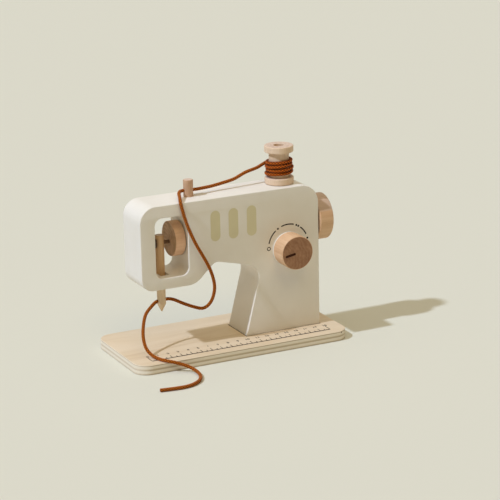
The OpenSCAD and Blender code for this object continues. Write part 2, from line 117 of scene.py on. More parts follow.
# %% Node wiring
class Finish:
    """A material under construction: its node tree and its Principled shader."""

    def __init__(self, name, roughness, specular=0.5):
        self.material = bpy.data.materials.new(name)
        self.material.use_nodes = True
        self.tree = self.material.node_tree
        self.shader = self.tree.nodes["Principled BSDF"]
        self.set("Roughness", roughness)
        self.set("Specular IOR Level", specular)

    def set(self, socket, value):
        """Give one of the shader's sockets a constant."""
        self.shader.inputs[socket].default_value = value

    def link(self, output, socket):
        """Lead a node's output to one of the shader's sockets."""
        self.tree.links.new(output, self.shader.inputs[socket])

    def node(self, kind, values=(), **settings):
        """A new node with some sockets set or linked: values is (socket, number or output) pairs."""
        made = self.tree.nodes.new(kind)
        for key, value in settings.items():
            setattr(made, key, value)
        for socket, value in values:
            if isinstance(value, bpy.types.NodeSocket):
                self.tree.links.new(value, made.inputs[socket])
            else:
                made.inputs[socket].default_value = value
        return made

    def coords(self):
        """Object coordinates, in metres."""
        return self.node("ShaderNodeTexCoord").outputs["Object"]

    def axis(self, letter):
        """One of the Object coordinates."""
        return self.node("ShaderNodeSeparateXYZ", [("Vector", self.coords())]).outputs[letter]

    def place(self, scale=(1, 1, 1), shift=(0, 0, 0)):
        """Object coordinates, squeezed so that a pattern is drawn out along a grain, and shifted."""
        values = [("Vector", self.coords()), ("Scale", scale), ("Location", shift)]
        return self.node("ShaderNodeMapping", values).outputs["Vector"]

    def noise(self, vector, size, detail=4.0, roughness=0.55, distortion=0.0):
        """Cloudy noise, 0 to 1: coarse patches, and as many finer ones on top as detail says, each weaker."""
        values = [("Vector", vector), ("Scale", size), ("Detail", detail), ("Roughness", roughness),
                  ("Distortion", distortion)]
        return self.node("ShaderNodeTexNoise", values).outputs["Fac"]

    def ramp(self, factor, stops):
        """A colour ramp: stops is (place, colour) pairs."""
        made = self.node("ShaderNodeValToRGB", [("Fac", factor)])
        elements = made.color_ramp.elements
        while len(elements) < len(stops):
            elements.new(0.5)
        for element, (place, colour) in zip(elements, stops):
            element.position = place
            element.color = colour
        return made.outputs["Color"]

    def mix(self, factor, first, second):
        """Two colours blended: the first at factor 0, the second at factor 1."""
        values = [(0, factor), (6, first), (7, second)]
        return self.node("ShaderNodeMix", values, data_type="RGBA").outputs[2]

    def math(self, operation, *numbers):
        """A sum, or another operation, on one or two numbers."""
        return self.node("ShaderNodeMath", enumerate(numbers), operation=operation).outputs["Value"]

    def spread(self, factor, low, high):
        """A factor of 0 to 1 spread between two numbers."""
        values = [("Value", factor), ("To Min", low), ("To Max", high)]
        return self.node("ShaderNodeMapRange", values).outputs["Result"]

    def between(self, value, start, end, most=1.0):
        """How far a value has gone from a start to an end: 0 at the start, most at the end."""
        values = [("Value", value), ("From Min", start), ("From Max", end), ("To Max", most)]
        return self.node("ShaderNodeMapRange", values).outputs["Result"]

    def peaks(self, noise, start, end, most):
        """The peaks of a noise alone: 0 below the start, most above the end."""
        return self.spread(self.ramp(noise, [(start, BLACK), (end, WHITE)]), 0.0, most)

    def bump(self, height, depth, strength):
        """Lean the shading as if a height of 0 to 1 rose by a depth in metres."""
        made = self.node("ShaderNodeBump", [("Height", height), ("Distance", depth), ("Strength", strength)])
        self.link(made.outputs["Normal"], "Normal")


print("steps of a finish:", [step for step in vars(Finish) if not step.startswith("_")])

# %% [markdown]
# ### Satin paint
# The body is sprayed cream, and the three ovals on its front are olive. One flat colour would look like plastic.
# Sprayed paint drifts between two close tones and has a fine orange peel that breaks up its shine, so both are
# made with noise. The dark leather washer behind the wheel is as soft and even, and uses the same recipe.

# %% Satin paint
PAINT_CLOUDS, ORANGE_PEEL = 28.0, 900.0


def satin_paint(name, light, dark):
    """Sprayed paint: two close tones in soft clouds, a faint orange peel and a slightly uneven sheen."""
    finish = Finish(name, 0.5, 0.4)
    clouds = finish.noise(finish.place(), PAINT_CLOUDS, 3.0)
    peel = finish.noise(finish.place(), ORANGE_PEEL, 2.0)
    finish.link(finish.ramp(clouds, [(0.3, dark), (0.7, light)]), "Base Color")
    finish.link(finish.spread(clouds, 0.44, 0.56), "Roughness")
    finish.bump(peel, 0.06 * MM, 0.25)
    return finish.material


CREAM = satin_paint("cream_paint", srgb(241, 236, 226), srgb(235, 229, 217))
OLIVE = satin_paint("olive_paint", srgb(222, 213, 176), srgb(215, 205, 167))
LEATHER = satin_paint("dark_leather", srgb(120, 86, 58), srgb(98, 68, 46))
print("painted", CREAM.name, OLIVE.name, LEATHER.name)

# %% [markdown]
# ### Turned beech
# Wheel, disc, knob, spool and pins are beech, turned on a lathe, sanded and oiled. Beech has fine fibres along
# the grain, broad bands of growth and short dark flecks. A picture of wood would be quick, but it would show its
# edges on a round piece. Noise squeezed along the grain goes right through the piece, as wood does.
# The needle bar is paler towards its foot, and the wheel's crown is greyer with a painted reflection of the sky, so a
# recipe may take another colour above or below a height.

# %% Turned beech
FIBRES, FIBRE_RUN, GROWTH_BANDS, FLECKS = 900.0, 26.0, 120.0, 1500.0
ALONG_X, ALONG_Y, ALONG_Z = 0, 1, 2


def drawn_out(along, share):
    """A squeeze of noise: whole across the grain, and only a share of it along the grain's axis."""
    return tuple(np.where(np.arange(3) == along, share, 1.0))


def turned_wood(name, light, dark, along, figure=None):
    """Turned wood: fibres, growth bands and dark flecks, all drawn out along the grain.
    The figure argument is a height and a half width in mm, and a colour: the wood takes that colour below the height,
    or above it where the half width is negative. The wheel uses it to paint a grey reflection of the sky on its crown."""
    finish = Finish(name, 0.55, 0.35)
    fibres = finish.noise(finish.place(drawn_out(along, FIBRE_RUN / FIBRES)), FIBRES, 5.0, 0.65)
    bands = finish.noise(finish.place(drawn_out(along, 0.1)), GROWTH_BANDS, 3.0, 0.5, 0.6)
    flecks = finish.noise(finish.place(drawn_out(along, 0.16)), FLECKS, 2.0)
    growth = finish.ramp(bands, [(0.32, dark), (0.68, light)])
    tone = finish.mix(0.45, growth, finish.ramp(fibres, [(0.3, dark), (0.7, light)]))
    if figure:
        height, soft, other = figure
        share = finish.between(finish.axis("Z"), (height + soft) * MM, (height - soft) * MM, 0.75)
        tone = finish.mix(share, tone, other)
    finish.link(finish.mix(finish.peaks(flecks, 0.66, 0.74, 0.45), tone, deeper(dark, 0.62)), "Base Color")
    finish.link(finish.spread(fibres, 0.48, 0.64), "Roughness")
    finish.bump(fibres, 0.08 * MM, 0.35)
    return finish.material


print("fibres", FIBRES, "per metre across the grain,", FIBRE_RUN, "along it")

# %% [markdown]
# ### Beech for each piece
# No two blanks of wood have the same colour. Each piece has its own pair of tones, set by holding the render against
# the photograph, and its grain runs along the axis that it was turned on. The spool's pin is darker than the rest,
# because the hole in the spool's top shows dark.

# %% Beech for each piece
# The needle bar turns paler below 68 mm, blending in from 72 mm down to 64 mm.
PALE_FOOT = (68.0, 4.0, srgb(240, 220, 186))
# Painted reflection of the sky: the wheel's crown turns greyer above 117 mm.
PAINTED_SKY_CROWN = (117.0, -0.8, srgb(190, 166, 146))
BEECH_X = turned_wood("beech_along_x", srgb(233, 198, 160), srgb(206, 164, 124), ALONG_X)
BEECH_Y = turned_wood("beech_along_y", srgb(231, 195, 157), srgb(202, 159, 119), ALONG_Y)
BEECH_Z = turned_wood("beech_along_z", srgb(240, 216, 189), srgb(218, 187, 154), ALONG_Z)
SHADED_BEECH = turned_wood("shaded_beech", srgb(150, 124, 92), srgb(124, 98, 70), ALONG_Z)
PIN_BEECH = turned_wood("pin_beech", srgb(214, 178, 144), srgb(184, 140, 106), ALONG_Z)
NEEDLE_BEECH = turned_wood("needle_beech", srgb(226, 190, 148), srgb(200, 158, 112), ALONG_Z, PALE_FOOT)
# The wheel's beech carries the painted sky reflection on its crown.
WHEEL_BEECH = turned_wood("wheel_beech", srgb(233, 198, 160), srgb(204, 161, 120), ALONG_X, PAINTED_SKY_CROWN)
DISC_BEECH = turned_wood("disc_beech", srgb(244, 204, 168), srgb(216, 170, 134), ALONG_X)
print("materials so far", len(bpy.data.materials))

# %% [markdown]
# ### End grain
# Where the lathe tool cuts across the fibres, oil soaks in and the wood turns darker, with growth rings and open
# pores. The flat ends of the turned pieces get this recipe. Rings come from a wave texture round a pith, which
# lies beside the piece, because small parts are cut from the side of a trunk.

# %% End grain
GROWTH_RINGS, OIL_CLOUDS, END_PORES = 95.0, 160.0, 2200.0


def end_grain(name, light, dark, axis, pith):
    """Cut ends: a wave of the distance from the pith's axis, soft clouds of oil, and dark pores."""
    finish = Finish(name, 0.62, 0.25)
    vector = finish.place(shift=tuple(-c * MM for c in pith))
    waves = [("Vector", vector), ("Scale", GROWTH_RINGS), ("Distortion", 9.0), ("Detail", 3.0),
             ("Detail Scale", 1.1)]
    rings = finish.node("ShaderNodeTexWave", waves, wave_type="RINGS", rings_direction=axis).outputs["Fac"]
    clouds = finish.noise(finish.place(), OIL_CLOUDS, 3.0)
    pores = finish.noise(finish.place(), END_PORES, 2.0)
    growth = finish.ramp(rings, [(0.1, dark), (0.9, light)])
    tone = finish.mix(0.72, growth, finish.ramp(clouds, [(0.3, dark), (0.7, light)]))
    finish.link(finish.mix(finish.peaks(pores, 0.58, 0.7, 0.5), tone, deeper(dark, 0.55)), "Base Color")
    finish.link(finish.spread(pores, 0.55, 0.7), "Roughness")
    finish.bump(pores, 0.06 * MM, 0.3)
    return finish.material


END_X_GRAIN = end_grain("end_grain_x", srgb(214, 178, 140), srgb(166, 128, 95), "X", (0, 14, 96))
END_Y_GRAIN = end_grain("end_grain_y", srgb(176, 133, 100), srgb(146, 104, 76), "Y", (37, 0, 80))
END_Z_GRAIN = end_grain("end_grain_z", srgb(229, 207, 188), srgb(207, 179, 158), "Z", (40, 10, 0))
print("end grain", END_X_GRAIN.name, END_Y_GRAIN.name, END_Z_GRAIN.name)

# %% [markdown]
# ### Birch veneer
# The base is faced with birch, peeled from the log in one wide sheet, so its figure is cloudy rather than striped.
# Three noises do it: slow clouds, long fibres along the board and a few darker streaks.

# %% Birch veneer
VENEER_FIGURE, VENEER_FIBRES, VENEER_STREAKS = 34.0, 1100.0, 130.0


def birch_veneer(name, light, middle, dark):
    """Birch face veneer: slow cloudy figure, a few darker streaks and long fibres, all drawn out along the board."""
    finish = Finish(name, 0.55, 0.35)
    figure = finish.noise(finish.place(drawn_out(ALONG_X, 0.22)), VENEER_FIGURE, 4.0, 0.5, 1.2)
    fibres = finish.noise(finish.place(drawn_out(ALONG_X, 0.02)), VENEER_FIBRES, 4.0, 0.6)
    aside = finish.place(drawn_out(ALONG_X, 0.05), shift=(0.3, 0.1, 0))
    streaks = finish.noise(aside, VENEER_STREAKS, 3.0, 0.6, 0.4)
    tone = finish.ramp(figure, [(0.32, middle), (0.62, light)])
    tone = finish.mix(finish.peaks(streaks, 0.55, 0.72, 0.55), tone, dark)
    finish.link(finish.mix(finish.spread(fibres, 0.0, 0.22), tone, dark), "Base Color")
    finish.link(finish.spread(fibres, 0.46, 0.62), "Roughness")
    finish.bump(fibres, 0.06 * MM, 0.3)
    return finish.material


BIRCH = birch_veneer("birch_veneer", srgb(231, 213, 186), srgb(220, 199, 167), srgb(200, 173, 136))
print("veneer", BIRCH.name)

# %% [markdown]
# ### Plywood edge
# The base's cut edge shows its plies: pale where the grain runs along the edge, warmer where it is cut across, with
# thin dark lines of glue between. Height alone sets the stripes, so a colour ramp on Z does it, with a little
# noise so that the lines waver. At the board's two ends the plies swap grain and the stripes fade.
# One small dark knot sits near the right front corner.

# %% Plywood edge
BASE_TOP = 9.0
END_FADE, PLY_WAVER, EDGE_PORES = (96.0, 104.0), 90.0, 2600.0
KNOT_PLACE, KNOT_REACH = (97.6 * MM, -49.2 * MM, 7.6 * MM), (0.9, 0.5)


def ply_edge(name, pale, warm, glue, knot_brown):
    """The cut edge of plywood: stripes by height, faded where |x| nears the ends, with pores and a small knot."""
    finish = Finish(name, 0.65, 0.25)
    share = finish.between(finish.axis("Z"), 0.0, BASE_TOP * MM)
    waver = finish.noise(finish.place((0.06, 0.06, 1.0)), PLY_WAVER, 2.0)
    share = finish.math("ADD", share, finish.spread(waver, -0.02, 0.02))
    plies = finish.ramp(share, [(0.0, glue), (0.08, glue), (0.14, warm), (0.24, pale), (0.38, pale),
                                (0.44, glue), (0.53, glue), (0.6, warm), (0.68, pale), (0.84, pale),
                                (0.88, glue), (0.94, glue), (0.97, warm), (1.0, pale)])
    end = finish.between(finish.math("ABSOLUTE", finish.axis("X")), END_FADE[0] * MM, END_FADE[1] * MM, 0.45)
    plies = finish.mix(end, plies, warm)
    pores = finish.noise(finish.place((0.12, 0.12, 1.0)), EDGE_PORES, 3.0)
    away = finish.node("ShaderNodeVectorMath", [(0, finish.coords()), (1, KNOT_PLACE)], operation="DISTANCE")
    knot = finish.between(away.outputs["Value"], KNOT_REACH[0] * MM, KNOT_REACH[1] * MM)
    tone = finish.mix(finish.spread(pores, 0.0, 0.3), plies, glue)
    finish.link(finish.mix(knot, tone, knot_brown), "Base Color")
    finish.bump(pores, 0.1 * MM, 0.3)
    return finish.material


EDGE = ply_edge("plywood_edge", srgb(248, 240, 224), srgb(238, 226, 204), srgb(200, 182, 154), srgb(92, 70, 44))
print("edge", EDGE.name)

# %% [markdown]
# ### Ink and painted contact shade
# Ruler, dial marks and pointer are screen-printed, and a thin dark line of painted contact shade runs round the
# column's foot.
# Ink is nearly one colour, with a fine mottle where the surface shows through.

# %% Ink and glue
INK_MOTTLE = 1800.0


def print_ink(name, colour):
    """Screen-printed ink: its colour, and half as light again where a fine noise peaks."""
    finish = Finish(name, 0.8, 0.08)
    mottle = finish.noise(finish.place(), INK_MOTTLE, 2.0)
    worn = (*(min(1.0, 1.5 * c + 0.02) for c in colour[:3]), 1.0)
    finish.link(finish.ramp(mottle, [(0.45, colour), (0.8, worn)]), "Base Color")
    finish.link(finish.spread(mottle, 0.75, 0.9), "Roughness")
    return finish.material


INK = print_ink("dark_ink", srgb(42, 32, 23))
DIAL_INK = print_ink("dial_ink", srgb(20, 14, 9))
POINTER_INK = print_ink("pointer_ink", srgb(58, 28, 12))
# Painted contact shade: a dark brown line where the column stands on the base.
CONTACT_SHADE_INK = print_ink("painted_contact_shade", srgb(112, 88, 62))
print("inks", INK.name, DIAL_INK.name, POINTER_INK.name, CONTACT_SHADE_INK.name)

# %% [markdown]
# ### Steel
# The crank pin and its cap are dark oxidised steel, and the screws under the base are bright. Drawn steel carries
# fine scratches along its length, which show in its colour, its shine and its relief.

# %% Steel
SCRATCHES = 2400.0


def drawn_steel(name, colour, roughness, metallic=1.0):
    """Drawn steel: noise squeezed along X as fine scratches in colour, roughness and bump."""
    finish = Finish(name, roughness)
    finish.set("Metallic", metallic)
    scratches = finish.noise(finish.place(drawn_out(ALONG_X, 0.05)), SCRATCHES, 2.0)
    finish.link(finish.ramp(scratches, [(0.3, deeper(colour, 0.8)), (0.7, colour)]), "Base Color")
    finish.link(finish.spread(scratches, roughness - 0.08, roughness + 0.12), "Roughness")
    finish.bump(scratches, 0.03 * MM, 0.3)
    return finish.material


DARK_STEEL = drawn_steel("dark_steel", srgb(84, 60, 40), 0.55, 0.15)
BROWNED_STEEL = drawn_steel("browned_steel", srgb(118, 88, 62), 0.6, 0.2)
BRIGHT_STEEL = drawn_steel("bright_steel", srgb(190, 190, 186), 0.32)
print("steel", DARK_STEEL.name, BROWNED_STEEL.name, BRIGHT_STEEL.name)

# %% [markdown]
# ### Braided cotton
# The thread is dyed cotton. Its strands get painted light on their crowns and painted shade in the gaps between. A
# noise can't know where the strands are, so the mesh keeps their height as an attribute named relief, and a ramp
# colours it.
# Fine fuzz and a little sheen make it look soft.

# %% Braided cotton
FUZZ = 4200.0


def braided_cotton(name, dark, light, gap=0.14, crown=0.65):
    """Braided cord: the relief attribute runs from painted shade at the gap level to painted light at the crown level.
    """
    finish = Finish(name, 0.9, 0.06)
    relief = finish.node("ShaderNodeAttribute", attribute_name="relief").outputs["Fac"]
    fuzz = finish.noise(finish.place(), FUZZ, 3.0)
    # Painted light on the crowns and painted shade in the gaps.
    tone = finish.ramp(relief, [(gap, dark), (crown, light)])
    finish.link(finish.mix(finish.spread(fuzz, 0.0, 0.35), tone, dark), "Base Color")
    finish.set("Sheen Weight", 0.08)
    finish.set("Sheen Roughness", 0.5)
    finish.bump(fuzz, 0.15 * MM, 0.5)
    return finish.material


COTTON = braided_cotton("rust_cotton", srgb(62, 23, 4), srgb(226, 127, 42))
# The wound copy has brighter painted light on its crowns and darker painted shade in its gaps, so the turns stand
# apart.
WOUND_COTTON = braided_cotton("wound_cotton", srgb(58, 16, 3), srgb(252, 128, 38), crown=0.72)
print("materials", len(bpy.data.materials))

# %% [markdown]
# ## Shapes from arrays
# Nearly every new piece is a grid of points worked out with numpy. Modelling by hand would do as well, but with a
# formula a size can be changed in one place. A mesh is made from the points and faces, its double points are merged,
# and its faces are turned outwards.

# %% Meshes
MERGE_REACH = 1e-7


def grid_quads(rows, cols):
    """The four-sided faces of a rows by cols grid of points, with the last column joined to the first."""
    row, col = np.meshgrid(np.arange(rows - 1), np.arange(cols), indexing="ij")
    after = (col + 1) % cols
    here, above = row * cols, (row + 1) * cols
    return np.stack([here + col, here + after, above + after, above + col], -1).reshape(-1, 4)


def make_piece(name, points, faces, materials, flat=(), slots=None, sharp=40.0):
    """A mesh object at the origin, smooth but for the flat faces and for edges sharper than an angle in degrees."""
    mesh = bpy.data.meshes.new(name)
    mesh.from_pydata(np.asarray(points, float).tolist(), [], [tuple(map(int, face)) for face in faces])
    smooth = np.ones(len(mesh.polygons), bool)
    smooth[np.asarray(flat, int)] = False
    mesh.polygons.foreach_set("use_smooth", smooth)
    for material in materials:
        mesh.materials.append(material)
    if slots is not None:
        mesh.polygons.foreach_set("material_index", np.asarray(slots, np.int32))
    work = bmesh.new()
    work.from_mesh(mesh)
    bmesh.ops.remove_doubles(work, verts=work.verts, dist=MERGE_REACH)
    bmesh.ops.recalc_face_normals(work, faces=work.faces)
    work.to_mesh(mesh)
    work.free()
    mesh.set_sharp_from_angle(angle=np.radians(sharp))
    made = bpy.data.objects.new(name, mesh)
    bpy.context.scene.collection.objects.link(made)
    return made


print("a 3 by 4 grid has", len(grid_quads(3, 4)), "faces")

# %% [markdown]
# ### Rounded corners
# Every edge on a toy is eased with sandpaper. A Bevel modifier could do that, but body, base and turned pieces all
# start as a drawing with corners, so rounding the drawing itself gives clean, even faces.

# %% Rounded corners
NO_RADIUS = 1e-9


def unit(vectors):
    """Vectors in rows, each divided by its length."""
    return vectors / np.linalg.norm(vectors, axis=1)[:, None]


def corner_arcs(points, radii, steps, hold, closed=True):
    """Each corner of a drawing as an arc that touches both sides: tangent length r / tan(half the corner's angle).
    A point a little way along each side holds the shading of the straight stretch flat."""
    points, radii = np.asarray(points, float), np.maximum(np.asarray(radii, float), NO_RADIUS)
    before, after = unit(np.roll(points, 1, 0) - points), unit(np.roll(points, -1, 0) - points)
    half = np.arccos(np.clip((before * after).sum(1), -1, 1)) / 2
    middle = points + unit(before + after) * (radii / np.sin(half))[:, None]
    cut = (radii / np.tan(half))[:, None]
    start, end = points + before * cut, points + after * cut
    first, last = (np.arctan2(*(tip - middle).T[::-1]) for tip in (start, end))
    sweep = (last - first + np.pi) % (2 * np.pi) - np.pi
    angle = first[:, None] + sweep[:, None] * np.linspace(0, 1, steps + 1)
    arcs = middle[:, None] + radii[:, None, None] * np.stack([np.cos(angle), np.sin(angle)], -1)
    arcs = np.concatenate([(start + before * hold)[:, None], arcs, (end + after * hold)[:, None]], 1)
    if not closed:
        arcs[0], arcs[-1] = points[0], points[-1]
    return arcs


print("a rounded square has", corner_arcs([[0, 0], [4, 0], [4, 4], [0, 4]], [1] * 4, 6, 0.1).shape[:2], "points")

# %% [markdown]
# ## Thread
# The thread is a limp braided cotton cord of 3.3 mm. It leaves the spool at the rear of its top turn, sags to the
# guide pin, drops down the front, loops back to the needle's eye, then falls to the base, over its front edge and
# onto the table, where it is cut off. A simulated rope would find its own lie. This one has to lie as in the
# photograph, so points of its route are read off there, each at a likely depth, and given from the nearest piece.

# %% Thread route
SPOOL_X, SPOOL_Z, NEEDLE_X, EYE_Z, GUIDE_X = 60.6, 144.5, -61.1, 51.0, -31.3
BODY_TOP, FRONT_Y, HEAD_X, BOARD_Y = 144.2, -19.25, -87.7, -50.0
THREAD_D, CORE_R, CLEAR = 3.3, 9.35, 0.3
FEED_Z, FEED_Y, HOLE_Z = 165.4, CORE_R + CLEAR + THREAD_D / 2, BODY_TOP + 5.8
FACE_Y, TABLE_Z = FRONT_Y - CLEAR - THREAD_D / 2, THREAD_D / 2 + 0.01
ROUTE = {
    "from the spool": ((SPOOL_X, FEED_Y, FEED_Z), [
        (-4, 0.2, -1.6), (-8, 0.6, -3.4), (-12, 0.2, -4.9), (-18, -1.4, -6.7)]),
    "sag to the guide pin": ((GUIDE_X, 0, HOLE_Z), [
        (60.9, 7.65, 6.5), (48.9, 6.05, 2.4), (36, 4.5, 0.6), (24, 3, -0.5), (13, 1.2, -0.6), (7, 0, -0.4),
        (-6, 0, 0), (-9, -2, 0), (-12, -6, -0.4)]),
    "down the front": ((GUIDE_X, FACE_Y, BODY_TOP), [
        (-14.5, 7.8, 3.5), (-16.8, 2.1, 2.2), (-17, 0, -1.2), (-16.2, -0.7, -5.1), (-14.6, -1.6, -12.8),
        (-11.2, -4.2, -25.1), (-5.7, -5.5, -38.3), (0.9, -5.5, -50.3), (7.7, -4.2, -63.1)]),
    "loop to the eye": ((GUIDE_X, 0, EYE_Z), [
        (11.7, -25, 16.85), (12.1, -23.6, 6.75), (9.6, -20.5, -3.2), (4.3, -15.5, -9.35), (-3.2, -9.5, -8.1),
        (-11, -4.4, -5), (-17, -1.2, -1.9), (-21.2, -0.4, -0.4), (-25.4, 0, 0), (-34.4, 0, -0.9),
        (-38, -0.8, -2.6), (-42, -2, -5.4)]),
    "fall to the base": ((HEAD_X, 0, BASE_TOP), [
        (8.5, -5.2, 32.6), (3.5, -11, 25.6), (-0.4, -18.2, 16.8), (-1.2, -25.2, 8.4), (1.3, -31, 3.15)]),
    "over the edge": ((HEAD_X, BOARD_Y, BASE_TOP), [
        (3.8, 12, 1.55), (5.8, 5.3, 1.55), (9.1, -0.6, 1.55), (14.2, -3.5, 0.4), (19.2, -5.5, -1.4),
        (23.2, -7.5, -2.9), (26.8, -10.5, -4.6)]),
    "on the table": ((HEAD_X, BOARD_Y, TABLE_Z), [
        (29.4, -15.5, 1), (29.6, -22.6, 0), (26.4, -31.5, 0), (22, -37.9, 0), (15.9, -42.6, 0), (9.5, -45.3, 0),
        (2.9, -46.1, 0), (-4.1, -45.6, 0), (-10.9, -44.6, 0), (-17.9, -43.5, 0)]),
}
stretches = [np.array(offsets) + place for place, offsets in ROUTE.values()]
print("route points", {name: len(points) for name, points in zip(ROUTE, stretches)})

# %% [markdown]
# ### A smooth path
# A cord has no corners. A Catmull-Rom curve goes through every point of the route, and a short running mean then
# takes out the last unevenness. Evenly spaced points along it keep the braid the same size all the way.

# %% Smooth path
CURVE_STEPS, MEAN_REACH, MEAN_WIDTH, TUBE_STEP = 24, 18, 6.0, 0.28


def walked_lengths(path):
    """The length walked along a path up to each of its points."""
    return np.concatenate([[0], np.cumsum(np.linalg.norm(np.diff(path, axis=0), axis=1))])


def smooth_route(points, spacing):
    """A Catmull-Rom curve through the points, then even spacing along it, then a bell-shaped running mean."""
    p = np.vstack([2 * points[0] - points[1], points, 2 * points[-1] - points[-2]])
    t = np.linspace(0, 1, CURVE_STEPS, endpoint=False)[:, None, None]
    a, b, c, d = p[:-3], p[1:-2], p[2:-1], p[3:]
    curve = 0.5 * (2 * b + (c - a) * t + (2 * a - 5 * b + 4 * c - d) * t**2 + (3 * b - a - 3 * c + d) * t**3)
    curve = np.vstack([curve.transpose(1, 0, 2).reshape(-1, 3), points[-1:]])
    walked = walked_lengths(curve)
    even = np.linspace(0, walked[-1], int(walked[-1] / spacing) + 1)
    path = np.stack([np.interp(even, walked, curve[:, k]) for k in range(3)], -1)
    bell = np.exp(-(np.arange(-MEAN_REACH, MEAN_REACH + 1) / MEAN_WIDTH) ** 2 / 2)
    padded = np.pad(path, ((MEAN_REACH, MEAN_REACH), (0, 0)), mode="reflect", reflect_type="odd")
    path = np.stack([np.convolve(padded[:, k], bell / bell.sum(), "valid") for k in range(3)], -1)
    return path, walked[-1]


print("the sag is", round(smooth_route(stretches[1], TUBE_STEP)[1]), "mm long")

# %% [markdown]
# ### A braided tube
# Four strands cross four others round the cord. Each could be a curve of its own, but at this size only the pattern
# of crowns and gaps shows, so it is pressed into the radius of one tube. The height of the weave is also kept on
# the mesh, where the cotton's finish reads it.

# %% Braided tube
BRAID_PITCH, BRAID_STRANDS, BRAID_DEPTH = 5.2, 4, 0.16
FIRST_SIDE, CUT_RELIEF, TUBE_SIDES = np.array([0.1, 0.6, 0.8]), 0.3, 20


def carried_sides(tangents, start):
    """A side direction for each ring, carried along without twisting: each is the last one squared to the next
    tangent. The loop runs over rings, not points, because each ring needs the one before it."""
    sides = [start - tangents[0] * (start @ tangents[0])]
    sides[0] /= np.linalg.norm(sides[0])
    for tangent in tangents[1:]:
        side = sides[-1] - tangent * (sides[-1] @ tangent)
        sides.append(side / np.linalg.norm(side))
    return np.array(sides)


def cotton_tube(name, path, material, turn_shade=0.0):
    """A braided tube: radius r (1 - depth (1 - |sin a| |sin b|)), where a and b climb round it in opposite senses.
    The sides that face up or down get painted shade, as they lie against the next turn in a winding; the last argument
    sets how much."""
    sides, tangents = TUBE_SIDES, unit(np.gradient(path, axis=0))
    u = carried_sides(tangents, FIRST_SIDE)
    v = np.cross(tangents, u)
    angle = np.linspace(0, 2 * np.pi, sides, endpoint=False)[None]
    climb = 2 * np.pi * walked_lengths(path)[:, None] / BRAID_PITCH
    a, b = BRAID_STRANDS * angle / 2 + climb, BRAID_STRANDS * angle / 2 - climb
    weave = np.abs(np.sin(a)) * np.abs(np.sin(b))
    radius = THREAD_D / 2 * (1 - BRAID_DEPTH * (1 - weave))
    outward = np.cos(angle)[..., None] * u[:, None] + np.sin(angle)[..., None] * v[:, None]
    rings = path[:, None] + radius[..., None] * outward
    points = np.vstack([rings.reshape(-1, 3), path[:1], path[-1:]]) * MM
    count, turn = len(path) * sides, np.arange(sides)
    after = (turn + 1) % sides
    first_end = np.stack([np.full(sides, count), after, turn], -1)
    last_end = np.stack([np.full(sides, count + 1), count - sides + turn, count - sides + after], -1)
    faces = [*grid_quads(len(path), sides), *first_end, *last_end]
    made = make_piece(name, points, faces, [material], sharp=60.0)
    # Painted shade: the relief drops on the sides that face up or down, where the turns of a winding touch.
    height = weave * (1 - turn_shade * outward[..., 2] ** 2)
    relief = made.data.attributes.new("relief", "FLOAT", "POINT")
    relief.data.foreach_set("value", np.append(height.ravel(), [CUT_RELIEF] * 2).astype(np.float32))
    return made


print("braid", BRAID_STRANDS, "strands each way, one turn in", BRAID_PITCH, "mm")

# %% [markdown]
# ### Top turn
# Four loose turns lie on the spool, and the free thread leaves it at the rear, where the top one begins. That turn is
# worked out first. It sinks slowly from the feed's height and rises a little in front, as a slack turn does.

# %% Top turn
TURN_STEPS, WIND_TOP, TURN_GAP, TURN_IN = 24, 164.0, 0.4, 0.15
TURN_DROP, DROP_POWER, TURN_SWAY, TURN_LIFT = FEED_Z - WIND_TOP - TURN_GAP, 0.7, 0.5, 1.0


def round_spool(angle, radius, height):
    """Points round the spool's axis, from an angle that starts at the rear, a radius and a height."""
    return np.stack([SPOOL_X + radius * np.sin(angle), radius * np.cos(angle), height], -1)


once = np.linspace(0, 2 * np.pi, TURN_STEPS, endpoint=False)
drop = TURN_DROP * (once / (2 * np.pi)) ** DROP_POWER
lift = TURN_SWAY * np.sin(once) + TURN_LIFT * (1 - np.cos(once)) / 2
top_turn = round_spool(once, FEED_Y - TURN_IN, FEED_Z - drop + lift)
print("top turn between", top_turn[:, 2].min().round(1), "and", top_turn[:, 2].max().round(1), "mm high")

# %% [markdown]
# ### Free thread
# From the top turn to its cut end the thread hangs and lies free. It is fixed to the machine.

# %% Free thread
thread_path, thread_length = smooth_route(np.vstack([top_turn[:1], *stretches]), TUBE_STEP)
thread = cotton_tube("thread", thread_path, COTTON)
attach(thread, "machine")
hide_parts("thread_upper", "thread_lower")
print("free thread", round(thread_length), "mm")

# %% [markdown]
# ### Winding on the spool
# Under the top turn lie three more, which wander in and out and up and down, as hand-wound cord does. They are a
# helix with a few sines added, whose rates differ so that no two turns are alike. The winding turns with the spool.

# %% Winding on the spool
# The third number paints shade on the sides where the turns lie against each other.
WIND_PITCH, WIND_TURNS, WIND_TURN_SHADE = 3.55, 3, 0.5
SWELL, SWELL_RATE, SWELL_START = 0.6, 1.37, 2.0
SLACK, SLACK_START, SLACK_FADE, FLUTTER, FLUTTER_RATE = 0.45, 0.7, 9, 0.25, 2.4
turns = np.linspace(0, 2 * np.pi * WIND_TURNS, TURN_STEPS * WIND_TURNS + 1)
wind_r = CORE_R + THREAD_D / 2 + SWELL * (1 + np.sin(SWELL_RATE * turns + SWELL_START))
slack = SLACK * np.sin(turns - SLACK_START) * np.cos(turns / SLACK_FADE) + FLUTTER * np.sin(FLUTTER_RATE * turns)
wind_z = WIND_TOP - WIND_PITCH * turns / (2 * np.pi) + slack * np.sin(np.pi * turns / turns[-1])
lower_turns = round_spool(turns, wind_r, wind_z)
winding_path, winding_length = smooth_route(np.vstack([top_turn, lower_turns]), TUBE_STEP)
winding = cotton_tube("thread_on_spool", winding_path, WOUND_COTTON, WIND_TURN_SHADE)
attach(winding, "reel")
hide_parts("thread_winding")
print("on the spool", round(winding_length), "mm")

